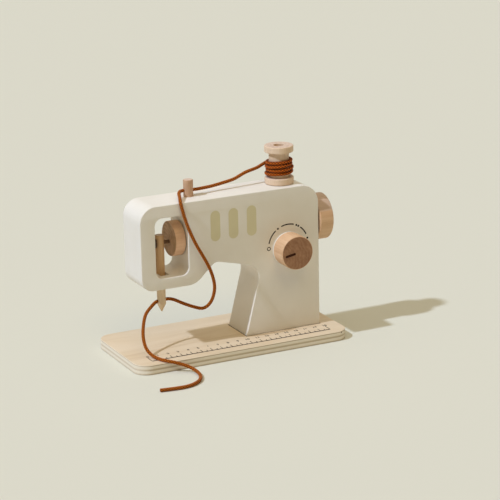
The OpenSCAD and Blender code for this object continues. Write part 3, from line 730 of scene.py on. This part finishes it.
# %% [markdown]
# ### The thread in the needle's eye
# A short piece of thread sits in the eye and moves with the needle bar. It is made apart from the free thread, so
# that the eye is never empty when the bar goes up.

# %% Thread in the eye
EYE_HALF, EYE_DROP, EYE_STEP = 4.1, 0.4, 0.2
eye_points = np.array([[NEEDLE_X + side * EYE_HALF, 0, EYE_Z + (side - 1) * EYE_DROP] for side in (-1, 0, 1)])
eye_thread = cotton_tube("thread_in_eye", smooth_route(eye_points, EYE_STEP)[0], COTTON)
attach(eye_thread, "needle")
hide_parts("thread_eye")
print("thread in the eye", len(eye_thread.data.polygons), "faces")

# %% [markdown]
# ## Painted body
# On the toy the body is boards glued together, filled, sanded with rounded edges and painted, so no seam shows.
# One shell stands for the panels and the core. It starts as a drawing in X and Z: the outline with its sloping head
# and leaning column, a radius for each corner, and the window.

# %% Body drawing
HALF_T, CORE_HALF = -FRONT_Y, 10.25
END_X, FOOT_X, HEAD_Z, SLOPE_X, THROAT_H = 90.7, 14.8, 66.5, -35.0, 64.9
LEAN, ROOF_RISE, HEAD_RISE = np.tan(np.radians([14.5, 13.5, 43.0]))
WINDOW_X, WINDOW_Z, WINDOW_R, SLOT_HALF = (-73.4, -41.2), (76.8, 132.6), 7.0, 4.3
SLOT_X = (NEEDLE_X - SLOT_HALF, NEEDLE_X + SLOT_HALF)
throat = np.array([FOOT_X + LEAN * THROAT_H, BASE_TOP + THROAT_H])
ridge_run = (throat[1] - HEAD_Z + ROOF_RISE * (throat[0] - SLOPE_X)) / (HEAD_RISE + ROOF_RISE)
ridge = [SLOPE_X + ridge_run, HEAD_Z + HEAD_RISE * ridge_run]
body_corners = np.array([[HEAD_X, BODY_TOP], [HEAD_X, HEAD_Z], [SLOPE_X, HEAD_Z], ridge, throat,
                         [FOOT_X, BASE_TOP], [END_X, BASE_TOP], [END_X, BODY_TOP]])
body_radii = np.array([15, 11.5, 18, 8, 14, 0, 0, 18.0])
inner_corner = np.array([0, 0, 0, 1, 1, 0, 0, 0], bool)
side_moves = np.array([1, 1, 1, 1, 1, 0, 1, 1.0])
window_corners = np.array([[WINDOW_X[0], WINDOW_Z[0]], [WINDOW_X[1], WINDOW_Z[0]],
                           [WINDOW_X[1], WINDOW_Z[1]], [WINDOW_X[0], WINDOW_Z[1]]])
print("body", np.ptp(body_corners, axis=0), "mm, window", np.ptp(window_corners, axis=0), "mm")

# %% [markdown]
# ### The body's edges
# A quarter circle eases the edges of the front and rear faces. The drawing is repeated at each depth, drawn in by as
# much as the quarter circle asks for, and the window is let out by the same amount. The foot on the base stays put.
# Two points on the head's underside and on the window's floor mark where the needle's slot will be.

# %% Body rings
ARC_STEPS, ROUND_STEPS, HOLD, EDGE_R = 20, 7, 0.3, 0.7


def drawn_in(corners, amounts):
    """Corners of an outline whose sides have each moved inwards: where each pair of moved sides meets."""
    along = unit(np.roll(corners, -1, 0) - corners)
    inward = np.stack([-along[:, 1], along[:, 0]], -1)
    offset = (inward * corners).sum(1) + amounts
    sides = np.stack([np.roll(inward, 1, 0), inward], 1)
    return np.linalg.solve(sides, np.stack([np.roll(offset, 1), offset], 1)[..., None])[..., 0]


def with_slot(arcs, side, height):
    """An outline's points, with the slot's two edges put into the side that follows a corner."""
    edges = np.array([[SLOT_X[0], height], [SLOT_X[1], height]])
    return np.vstack([arcs[: side + 1].reshape(-1, 2), edges, arcs[side + 1 :].reshape(-1, 2)])


def body_ring(draw):
    """The outline drawn in: inner corners get a larger radius and outer ones a smaller, so arcs stay parallel."""
    sizes = np.where(body_radii > 0, np.where(inner_corner, body_radii + draw, body_radii - draw), 0)
    arcs = corner_arcs(drawn_in(body_corners, side_moves * draw), sizes, ARC_STEPS, HOLD)
    return with_slot(arcs, 1, HEAD_Z + draw)


def window_ring(draw):
    """The window let out by the same amount, with its corners' radius larger by it."""
    arcs = corner_arcs(drawn_in(window_corners, np.full(4, -draw)), np.full(4, WINDOW_R + draw), ARC_STEPS, HOLD)
    return with_slot(arcs, 0, WINDOW_Z[0] - draw)


def eased(radius, steps, hold):
    """A quarter circle from a face to its side: depths r (1 - cos q), draws r (1 - sin q), and a point to hold."""
    quarter = np.linspace(0, np.pi / 2, steps)
    return np.append(radius * (1 - np.cos(quarter)), radius + hold), np.append(radius * (1 - np.sin(quarter)), 0)


front_depths, front_draws = eased(EDGE_R, ROUND_STEPS, HOLD)
front_depths = front_depths - HALF_T
depths = np.concatenate([front_depths, [-CORE_HALF, CORE_HALF], -front_depths[::-1]])
draws = np.concatenate([front_draws, [0, 0], front_draws[::-1]])
print("body drawn at", len(depths), "depths")

# %% [markdown]
# ### The body's walls and faces
# The rings at all depths make two walls, one round the outside and one through the window. One face of each is taken
# out and four new ones join the holes: that is the slot the needle bar runs in. The flat front and rear faces are
# filled with triangles, which can go round the window.

# %% Body shell
def wall(ring):
    """A wall of the shell: the ring at each depth, with X and Z from the drawing and Y from the depth."""
    drawings = np.stack([ring(draw) for draw in draws])
    depth = np.broadcast_to(depths[:, None], drawings.shape[:2])
    return np.stack([drawings[..., 0], depth, drawings[..., 1]], -1)


def face_cap(row):
    """The flat front or rear face: the outline with the window cut out, as triangles."""
    index = np.concatenate([row * outer_cols + np.arange(outer_cols),
                            outer_count + row * inner_cols + np.arange(inner_cols)])
    return [tuple(index[list(t)]) for t in tessellate_polygon([outer[row].tolist(), inner[row].tolist()])]


outer, inner = wall(body_ring), wall(window_ring)
rows, outer_cols, inner_cols = len(depths), outer.shape[1], inner.shape[1]
outer_count = rows * outer_cols
outer_quads, inner_quads = grid_quads(rows, outer_cols), grid_quads(rows, inner_cols)
slot_row, corner_points = ROUND_STEPS + 1, ARC_STEPS + 3
outer_hole, inner_hole = slot_row * outer_cols + 2 * corner_points, slot_row * inner_cols + corner_points
slot_low, slot_high = outer_quads[outer_hole], inner_quads[inner_hole] + outer_count
slot_walls = np.stack([slot_low, np.roll(slot_low, -1), np.roll(slot_high, -1), slot_high], -1)
walls = np.vstack([np.delete(outer_quads, outer_hole, 0), np.delete(inner_quads, inner_hole, 0) + outer_count,
                   slot_walls])
caps = face_cap(0) + face_cap(rows - 1)
shell_points = np.vstack([outer.reshape(-1, 3), inner.reshape(-1, 3)]) * MM
shell = make_piece("painted_body", shell_points, [*walls, *caps], [CREAM],
                   flat=range(len(walls), len(walls) + len(caps)), sharp=50.0)
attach(shell, "machine")
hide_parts("front_panel", "core_upper", "core_lower", "rear_panel", "shaft_bearing_left", "shaft_bearing_right")
print("body shell", len(shell.data.polygons), "faces")

# %% [markdown]
# ## Base board
# The base is plywood with rounded corners: veneer above and below, and striped plies on its cut edge, which is eased
# by sandpaper. The same rounded outline is drawn at a few heights, as the body is at a few depths.

# %% Base outline
BASE_HALF, BASE_CORNER, BASE_STEPS = (106.4, 50.0), 14.0, 16
BASE_EDGE, BASE_EDGE_STEPS, BASE_EDGE_HOLD = 0.4, 4, 0.1
base_corners = np.array([[-1, -1], [1, -1], [1, 1], [-1, 1.0]]) * BASE_HALF
low_heights, low_draws = eased(BASE_EDGE, BASE_EDGE_STEPS, BASE_EDGE_HOLD)
heights = np.concatenate([low_heights, BASE_TOP - low_heights[::-1]])
base_draws = np.concatenate([low_draws, low_draws[::-1]])


def base_ring(draw):
    """The board's outline drawn in, with its corners' radius smaller by the same amount."""
    corners, radii = drawn_in(base_corners, np.full(4, draw)), np.full(4, BASE_CORNER - draw)
    return corner_arcs(corners, radii, BASE_STEPS, HOLD).reshape(-1, 2)


base_rings = np.stack([base_ring(draw) for draw in base_draws])
levels, around = base_rings.shape[:2]
board_points = np.dstack([base_rings, np.broadcast_to(heights[:, None], (levels, around))]).reshape(-1, 3)
print("board", np.ptp(board_points, axis=0), "mm")

# %% [markdown]
# ### Screw recesses and the board's faces
# Three screws hold the column from below, their heads sunk in shallow round recesses. The recesses are cut out of the
# underside's triangles, and each gets a wall and a floor. The edge has its own material, so that its plies show.

# %% Base board
SCREW_SHARES, SCREW_R, SCREW_SINK, RIM_STEPS = np.array([0.83, 0.51, 0.17]), 4.05, 0.34, 40
SCREW_X = END_X - SCREW_SHARES * (END_X - FOOT_X)
circle = np.linspace(0, 2 * np.pi, RIM_STEPS, endpoint=False)
recess = np.stack([np.stack([x + SCREW_R * np.cos(circle), SCREW_R * np.sin(circle)], -1) for x in SCREW_X])
recess_points = np.concatenate([np.dstack([recess, np.full(recess.shape[:2], z)]) for z in (0.0, SCREW_SINK)])
all_points = np.vstack([board_points, recess_points.reshape(-1, 3)])
first = len(board_points)
rims = first + np.arange(recess[..., 0].size).reshape(-1, RIM_STEPS)
floors = rims + rims.size
recess_walls = np.stack([rims, np.roll(rims, -1, 1), np.roll(floors, -1, 1), floors], -1).reshape(-1, 4)
under_loops = [np.arange(around), *rims]
under_index = np.concatenate(under_loops)
triangles = tessellate_polygon([all_points[loop].tolist() for loop in under_loops])
underside = [tuple(under_index[list(t)]) for t in triangles]
edge_faces, top_face = grid_quads(levels, around), first - around + np.arange(around)
base_faces = [*edge_faces, *recess_walls, *floors, *underside, top_face]
veneer = np.ones(len(base_faces), int)
veneer[around : (levels - 2) * around] = 0
base = make_piece("base_plywood", all_points * MM, base_faces, [EDGE, BIRCH],
                  flat=range(len(edge_faces), len(base_faces)), slots=veneer, sharp=50.0)
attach(base, "machine")
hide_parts("base_board")
print("base", len(base.data.polygons), "faces")

# %% [markdown]
# ## Turned pieces
# Handwheel, crank disc, knob, spool, guide pin and needle bar come from a lathe. A Screw modifier spins a profile
# too, but here the same corner arcs ease the profile first, and the flat ends are found and given end grain.

# %% Lathe
LATHE_STEPS, PROFILE_STEPS, PROFILE_HOLD, FLAT_CLIMB = 112, 6, 0.12, 0.3


def lathe(name, profile, radii, axis, centre, materials):
    """A turned piece: an open profile of (radius, height) with rounded corners, spun round an axis.
    A face that climbs less than a share of what it goes outwards is an end, and gets the second material."""
    drawn = corner_arcs(profile, radii, PROFILE_STEPS, PROFILE_HOLD, closed=False).reshape(-1, 2) * MM
    angle = np.linspace(0, 2 * np.pi, LATHE_STEPS, endpoint=False)
    radius, height = drawn[:, :1], np.repeat(drawn[:, 1:], LATHE_STEPS, 1)
    local = np.stack([radius * np.cos(angle), radius * np.sin(angle), height], -1)
    spun = {"x": local[..., [2, 0, 1]], "y": local[..., [1, 2, 0]], "z": local}[axis]
    points = spun.reshape(-1, 3) + np.array(centre) * MM
    climb = np.abs(np.diff(drawn, axis=0))
    ends = np.repeat(climb[:, 1] < FLAT_CLIMB * climb[:, 0], LATHE_STEPS)
    return make_piece(name, points, grid_quads(len(drawn), LATHE_STEPS), materials, slots=ends)


def turned(name, profile, radii, axis, centre, materials, body, node):
    """A turned piece that takes the place of one solid, on its body and with its materials."""
    made = lathe(name, profile, radii, axis, centre, materials)
    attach(made, body)
    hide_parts(node)
    print(name, len(made.data.polygons), "faces")


print("lathe turns in", LATHE_STEPS, "steps")

# %% [markdown]
# ### Wheel and crank disc
# The wheel at the right end turns the crank disc in the window through a hidden shaft. Both are plain discs turned
# along X. The wheel's rim has a small chamfer, so its profile has two more corners.

# %% Wheel and crank disc
AXIS_Z = 107.3
WHEEL_X, WHEEL_R, WHEEL_T, CHAMFER = 91.7, 21.6, 14.1, 0.8
DISC_X, DISC_R, DISC_T = -51.8, 16.1, 9.8
wheel_profile = [(0, 0), (WHEEL_R - CHAMFER, 0), (WHEEL_R, CHAMFER), (WHEEL_R, WHEEL_T - CHAMFER),
                 (WHEEL_R - CHAMFER, WHEEL_T), (0, WHEEL_T)]
turned("wood_handwheel", wheel_profile, [0, 0.7, 0.7, 0.7, 0.7, 0], "x", (WHEEL_X, 0, AXIS_Z),
       [WHEEL_BEECH, END_X_GRAIN], "drive", "handwheel")
turned("wood_crank_disc", [(0, 0), (DISC_R, 0), (DISC_R, DISC_T), (0, DISC_T)], [0, 0.7, 0.7, 0],
       "x", (DISC_X, 0, AXIS_Z), [DISC_BEECH, END_X_GRAIN], "drive", "crank_disc")

# %% [markdown]
# ### Dial knob
# The knob is a short cylinder with end grain on its face. A thin bright edge shows behind it, so its last millimetre
# is a cream painted spacer that turns with it.

# %% Knob and spacer
KNOB_X, KNOB_Z, KNOB_Y, KNOB_R, KNOB_L = 58.9, 86.8, FRONT_Y - CLEAR, 15.75, 18.5
SPACER_T, SPACER_BACK = 1.0, 0.2
knob_centre = (KNOB_X, KNOB_Y, KNOB_Z)
turned("wood_dial_knob", [(0, -KNOB_L), (KNOB_R, -KNOB_L), (KNOB_R, -SPACER_T), (0, -SPACER_T)],
       [0, 0.9, 0.15, 0], "y", knob_centre, [BEECH_Y, END_Y_GRAIN], "dial", "dial_knob")
spacer = lathe("painted_knob_spacer", [(0, -SPACER_T), (KNOB_R, -SPACER_T), (KNOB_R, SPACER_BACK), (0, SPACER_BACK)],
               [0, 0.15, 0.15, 0], "y", knob_centre, [CREAM, CREAM])
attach(spacer, "dial")
print("spacer", SPACER_T + SPACER_BACK, "mm thick")

# %% [markdown]
# ### Spool, guide pin and needle bar
# The spool has two flanges and a bore, so its profile goes round and comes back to its start. The guide pin is a
# dowel with an eased top, and the needle bar a dowel with a blunt cone at its foot.

# %% Spool, guide pin and needle bar
SPOOL_H, SPOOL_R, FLANGE_T, BORE_R = 35.6, 13.45, 6.0, 4.85
spool_profile = [(BORE_R, 0), (SPOOL_R, 0), (SPOOL_R, FLANGE_T), (CORE_R, FLANGE_T), (CORE_R, SPOOL_H - FLANGE_T),
                 (SPOOL_R, SPOOL_H - FLANGE_T), (SPOOL_R, SPOOL_H), (BORE_R, SPOOL_H),
                 (BORE_R - 0.001, SPOOL_H / 2), (BORE_R, 0)]
turned("wood_spool", spool_profile, [0, 0.9, 0.9, 0.4, 0.4, 0.9, 0.9, 0.4, 0, 0], "z", (SPOOL_X, 0, SPOOL_Z),
       [BEECH_Z, END_Z_GRAIN], "reel", "spool")
GUIDE_R, GUIDE_H, PIN_SINK = 4.5, 15.6, 14.0
turned("wood_guide_pin", [(0, -PIN_SINK), (GUIDE_R, -PIN_SINK), (GUIDE_R, GUIDE_H), (0, GUIDE_H)], [0, 0.3, 0.8, 0],
       "z", (GUIDE_X, 0, BODY_TOP), [PIN_BEECH, END_Z_GRAIN], "machine", "thread_guide_pin")
NEEDLE_R, NEEDLE_TIP_R, NEEDLE_TIP, NEEDLE_CONE, NEEDLE_TOP = 4.0, 0.5, 40.0, 47.3, 112.2
needle_profile = [(0, NEEDLE_TIP), (NEEDLE_TIP_R, NEEDLE_TIP), (NEEDLE_R, NEEDLE_CONE), (NEEDLE_R, NEEDLE_TOP),
                  (0, NEEDLE_TOP)]
turned("wood_needle_bar", needle_profile, [0, 0.3, 2.0, 0.5, 0], "z", (NEEDLE_X, 0, 0),
       [NEEDLE_BEECH, END_Z_GRAIN], "needle", "needle_bar")

# %% [markdown]
# ## Prints
# Ruler, dial scale, ovals and pointer lie flat on their surfaces. They could be painted in a texture, but thin flat
# meshes a few hundredths of a millimetre proud stay sharp at any distance, and bake and export like any piece.
# Each is a drawing in two columns that is then laid on its surface.

# %% Print helpers
PROUD = 0.03


def level_with(drawing, axis, height):
    """A drawing's two columns with a third one put in at an axis, the same height for all."""
    return np.insert(drawing, axis, height, axis=1)


def on_front(drawing):
    """Drawing (x, z) laid on the body's front face."""
    return level_with(drawing, 1, -HALF_T - PROUD)


def on_base(drawing):
    """Drawing (x, y) laid on the base's top."""
    return level_with(drawing, 2, BASE_TOP + PROUD)


def on_knob(drawing):
    """Drawing (x, z) laid on the knob's face."""
    return level_with(drawing, 1, KNOB_Y - KNOB_L - PROUD)


def flat_piece(name, drawing, faces, lay, material, body, slot):
    """A flat print on a body: lay puts the drawing on its surface."""
    made = make_piece(name, lay(np.asarray(drawing, float)) * MM, faces, [material])
    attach(made, body)
    print(name, len(made.data.polygons), "faces")


def joined(parts):
    """Several (points, faces) drawings as one: each part's faces count on from the points before it."""
    starts = np.cumsum([0] + [len(points) for points, _ in parts[:-1]])
    faces = [tuple(int(i + start) for i in face) for (_, part), start in zip(parts, starts) for face in part]
    return np.vstack([points for points, _ in parts]), faces


print("prints stand", PROUD, "mm proud")

# %% [markdown]
# ### Ruler
# The base carries a ruler from 0 to 18 cm: a line, long ticks at each centimetre, short ones between and tall ones at
# its ends. All are plain bars, each a single face, so one small helper makes them all.

# %% Ruler lines
TICK_X0, TICK_STEP, TICK_COUNT, BASELINE_Y = -89.2, 10.0, 19, -39.65
LONG_TICK, SHORT_TICK, END_TICK, TICK_W, LINE_W = 6.0, 3.2, 10.0, 0.7, 1.6
tick_x = TICK_X0 + TICK_STEP / 2 * np.arange(2 * TICK_COUNT - 1)
tick_h = np.where(np.arange(len(tick_x)) % 2 == 0, LONG_TICK, SHORT_TICK)
tick_h[[0, -1]] = END_TICK


def bar(x0, x1, y0, y1):
    """A plain bar between two x and two y."""
    return np.array([[x0, y0], [x1, y0], [x1, y1], [x0, y1]]), [(0, 1, 2, 3)]


line_top = BASELINE_Y + LINE_W / 2
ticks = [bar(x - TICK_W / 2, x + TICK_W / 2, line_top, BASELINE_Y + h) for x, h in zip(tick_x, tick_h)]
ruler = joined([bar(tick_x[0], tick_x[-1], BASELINE_Y - LINE_W / 2, line_top), *ticks])
flat_piece("ruler_lines", *ruler, on_base, INK, "machine", "plywood")

# %% [markdown]
# ### Ruler numbers
# A number stands above each long tick. Blender's text has a plain built-in typeface. Each number is made a mesh, since
# text that stays text can't be joined or baked, and is then scaled to the height of the printed ones.

# %% Ruler numbers
DIGIT_H, DIGIT_Y, DIGIT_SHIFT, DIGIT_BOLD = 3.4, -27.4, 0.7, 0.035


def digits(text, height, middle):
    """A number as triangles, scaled so that it has a height and centred on a point."""
    curve = bpy.data.curves.new("number", "FONT")
    curve.body, curve.offset = text, DIGIT_BOLD
    holder = bpy.data.objects.new("number", curve)
    bpy.context.scene.collection.objects.link(holder)
    mesh = bpy.data.meshes.new_from_object(holder.evaluated_get(bpy.context.evaluated_depsgraph_get()))
    points = np.empty(len(mesh.vertices) * 3)
    mesh.vertices.foreach_get("co", points)
    points = points.reshape(-1, 3)[:, :2]
    faces = [tuple(p.vertices) for p in mesh.polygons]
    bpy.data.objects.remove(holder)
    bpy.data.curves.remove(curve)
    bpy.data.meshes.remove(mesh)
    low, high = points.min(0), points.max(0)
    return (points - (low + high) / 2) * height / (high[1] - low[1]) + middle, faces


places = np.column_stack([tick_x[::2] + DIGIT_SHIFT, np.full(TICK_COUNT, DIGIT_Y)])
numbers = joined([digits(str(i), DIGIT_H, place) for i, place in enumerate(places)])
flat_piece("ruler_numbers", *numbers, on_base, INK, "machine", "plywood")

# %% [markdown]
# ### Contact shade
# Where the column stands on the base, a thin brown line of painted contact shade runs all round. It is four bars on
# the base.

# %% Contact shade
CONTACT_SHADE_W = 0.7
out_y = HALF_T + CONTACT_SHADE_W
painted_contact_shade = joined([bar(FOOT_X - CONTACT_SHADE_W, FOOT_X, -out_y, out_y), bar(END_X, END_X + CONTACT_SHADE_W, -out_y, out_y),
                    bar(FOOT_X, END_X, -out_y, -HALF_T), bar(FOOT_X, END_X, HALF_T, out_y)])
flat_piece("painted_contact_shade", *painted_contact_shade, on_base, CONTACT_SHADE_INK, "machine", "plywood")

# %% [markdown]
# ### Rings and bars with round ends
# The marks on the body's front and on the knob are stretches of ring, and bars with round ends. A dot is such a bar
# that is as short as it is wide, so two helpers draw them all.

# %% Rings and bars with round ends
def aimed(degrees):
    """The unit direction of an angle in degrees, as (cos, sin)."""
    angle = np.radians(degrees)
    return np.stack([np.cos(angle), np.sin(angle)], -1)


def band(centre, radius, width, start, end, steps=40):
    """A stretch of ring: radius plus or minus half the width, over an angle in degrees."""
    ring = aimed(np.linspace(start, end, steps))
    points = np.vstack([centre + (radius - width / 2) * ring, centre + (radius + width / 2) * ring])
    low = np.arange(steps - 1)
    return points, np.stack([low, low + 1, low + 1 + steps, low + steps], -1)


def pill(centre, half_length, half_width, angle=0.0, steps=16):
    """A bar with round ends: two half circles joined by straight sides, turned by an angle in degrees."""
    cap = half_width * aimed(np.linspace(-90, 90, steps)) + [half_length - half_width, 0]
    cos, sin = aimed(angle)
    points = np.vstack([cap, -cap]) @ np.array([[cos, sin], [-sin, cos]]) + centre
    return points, [tuple(range(2 * steps))]


print("a dot has", len(pill(np.zeros(2), 1.0, 1.0)[0]), "points")

# %% [markdown]
# ### Dial scale
# Round the knob three dashes, four dots and a small circle are printed on a ring, like the stitch choices on a real
# machine. They stay on the body when the knob turns. Their angles and the ring's centre are read off the photograph.

# %% Dial scale
DIAL, SCALE_R, SCALE_W, DOT_R = np.array([59.06, 89.38]), 20.2, 1.15, 0.95
DASHES, DOTS = ((167.5, 129), (110, 73), (51.5, 24.5)), (121, 64.9, 58.4, 13)
CIRCLE_PLACE, CIRCLE_R, CIRCLE_W = DIAL - [SCALE_R - 0.25, 0.45], 1.55, 0.75
scale = joined([*(band(DIAL, SCALE_R, SCALE_W, *dash) for dash in DASHES),
                *(pill(DIAL + SCALE_R * aimed(dot), DOT_R, DOT_R) for dot in DOTS),
                band(CIRCLE_PLACE, CIRCLE_R, CIRCLE_W, 0, 360)])
flat_piece("dial_scale", *scale, on_front, DIAL_INK, "machine", "painted_wood")

# %% [markdown]
# ### Ovals and pointer
# Three upright ovals are painted on the arm, and a short pointer is printed on the knob's face, off its middle.
# The pointer rides on the dial, so it turns with the knob.

# %% Ovals and pointer
OVAL_X, OVAL_Z, OVAL_HALF = (-14.2, 3.8, 22.1), 118.4, (14.2, 4.8)
POINTER_MID, POINTER_HALF, POINTER_TURN = 7.2, (5.3, 1.15), 190.0
ovals = joined([pill(np.array([x, OVAL_Z]), *OVAL_HALF, angle=90) for x in OVAL_X])
flat_piece("painted_ovals", *ovals, on_front, OLIVE, "machine", "painted_wood")
pointer = pill(np.array([KNOB_X, KNOB_Z]) + POINTER_MID * aimed(POINTER_TURN), *POINTER_HALF, angle=POINTER_TURN)
flat_piece("dial_pointer", *pointer, on_knob, POINTER_INK, "dial", "turned_wood")

# %% [markdown]
# ## Solids that keep their own shape
# Shaft, pins, washer, collar, dowels and screws are right as they are, so they only get a finish.

# %% Finishes on the remaining solids
KEPT = {"drive_shaft": BEECH_X, "dial_axle": BEECH_Y, "dial_collar": BEECH_Y, "panel_dowels": BEECH_Y,
        "spool_pin": SHADED_BEECH, "base_screws": BRIGHT_STEEL, "crank_pin": BROWNED_STEEL,
        "crank_pin_cap": DARK_STEEL, "wheel_washer": LEATHER}
for name, material in KEPT.items():
    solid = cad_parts[name]
    solid.data.materials.clear()
    solid.data.materials.append(material)
print("kept solids", len(KEPT))

# %% [markdown]
# ## Light
# A key light stands high on the left and throws the long shadow to the right. A broad warm light from the front, as
# from a window, lifts the front face a little, and a dome that is bright overhead and dim at its rim fills the shade.
# Sun lamps are used because their light is the same all over the toy, whatever its size.

# %% Lamps
KEY_LIGHT = ("key", 47.0, -87.5, 1.73, 2.0, (0.95, 1.09, 1.38))
WINDOW_LIGHT = ("window", 52.0, -6.0, 0.27, 22.0, (1.0, 0.74, 0.28))


def sun_lamp(name, elevation, azimuth, strength, spread, colour):
    """A sun lamp that shines from an elevation and azimuth in degrees; its spread sets how soft the shadows are."""
    light = bpy.data.lights.new(name, "SUN")
    light.energy, light.angle, light.color = strength, np.radians(spread), colour
    lamp = bpy.data.objects.new(name, light)
    aim = Vector(towards(*np.radians([azimuth, elevation])))
    lamp.rotation_euler = aim.to_track_quat("Z", "Y").to_euler()
    bpy.context.scene.collection.objects.link(lamp)


sun_lamp(*KEY_LIGHT)
sun_lamp(*WINDOW_LIGHT)
print("lamps", [light.name for light in bpy.data.lights])

# %% [markdown]
# ### Dome and background
# The dome lights the toy, but the camera and anything shiny should see a plain background of the floor's colour.
# The Light Path node tells what kind of ray asks, and so chooses between the two.

# %% Dome and background
FLOOR_COLOUR = srgb(219, 218, 203)
SKY_TOP, SKY_MIDDLE, SKY_RIM = (1.14, 1.07, 0.94, 1.0), (0.15, 0.1, 0.03, 1.0), (0.02, 0.015, 0.009, 1.0)


def surround_light():
    """A dome coloured by height; camera, mirror and glass rays see the background colour instead."""
    world = bpy.data.worlds.new("surround")
    bpy.context.scene.world = world
    world.use_nodes = True
    nodes, link = world.node_tree.nodes, world.node_tree.links.new
    fill, seen = nodes["Background"], nodes.new("ShaderNodeBackground")
    seen.inputs["Color"].default_value, seen.inputs["Strength"].default_value = FLOOR_COLOUR, 1.0
    coords, split = nodes.new("ShaderNodeTexCoord"), nodes.new("ShaderNodeSeparateXYZ")
    dome = nodes.new("ShaderNodeValToRGB")
    dome.color_ramp.elements[0].color, dome.color_ramp.elements[1].color = SKY_RIM, SKY_TOP
    dome.color_ramp.elements.new(0.5).color = SKY_MIDDLE
    link(coords.outputs["Generated"], split.inputs[0])
    link(split.outputs["Z"], dome.inputs[0])
    link(dome.outputs[0], fill.inputs["Color"])
    path, mixer = nodes.new("ShaderNodeLightPath"), nodes.new("ShaderNodeMixShader")
    either, any_of = nodes.new("ShaderNodeMath"), nodes.new("ShaderNodeMath")
    either.operation = any_of.operation = "MAXIMUM"
    link(path.outputs["Is Camera Ray"], either.inputs[0])
    link(path.outputs["Is Glossy Ray"], either.inputs[1])
    link(either.outputs[0], any_of.inputs[0])
    link(path.outputs["Is Transmission Ray"], any_of.inputs[1])
    link(any_of.outputs[0], mixer.inputs[0])
    link(fill.outputs[0], mixer.inputs[1])
    link(seen.outputs[0], mixer.inputs[2])
    link(mixer.outputs[0], nodes["World Output"].inputs["Surface"])


surround_light()
print("surround", bpy.context.scene.world.name)

# %% [markdown]
# ### Floor
# The toy stands on plain pale paper, which keeps its shadow. One wide face is enough. It lies a tenth of a millimetre
# low, so that it never shares a plane with the base's underside.

# %% Floor
FLOOR_HALF, FLOOR_DROP = 8.0, 0.0001
paper = Finish("pale_paper", 0.9, 0.1)
paper.set("Base Color", FLOOR_COLOUR)
floor_corners = np.array([[-1, -1], [1, -1], [1, 1], [-1, 1]]) * FLOOR_HALF
floor = make_piece("floor", level_with(floor_corners, 2, -FLOOR_DROP), [(0, 1, 2, 3)], [paper.material])
bpy.context.scene.view_settings.view_transform = "Standard"
print("floor", 2 * FLOOR_HALF, "m wide")

# %% [markdown]
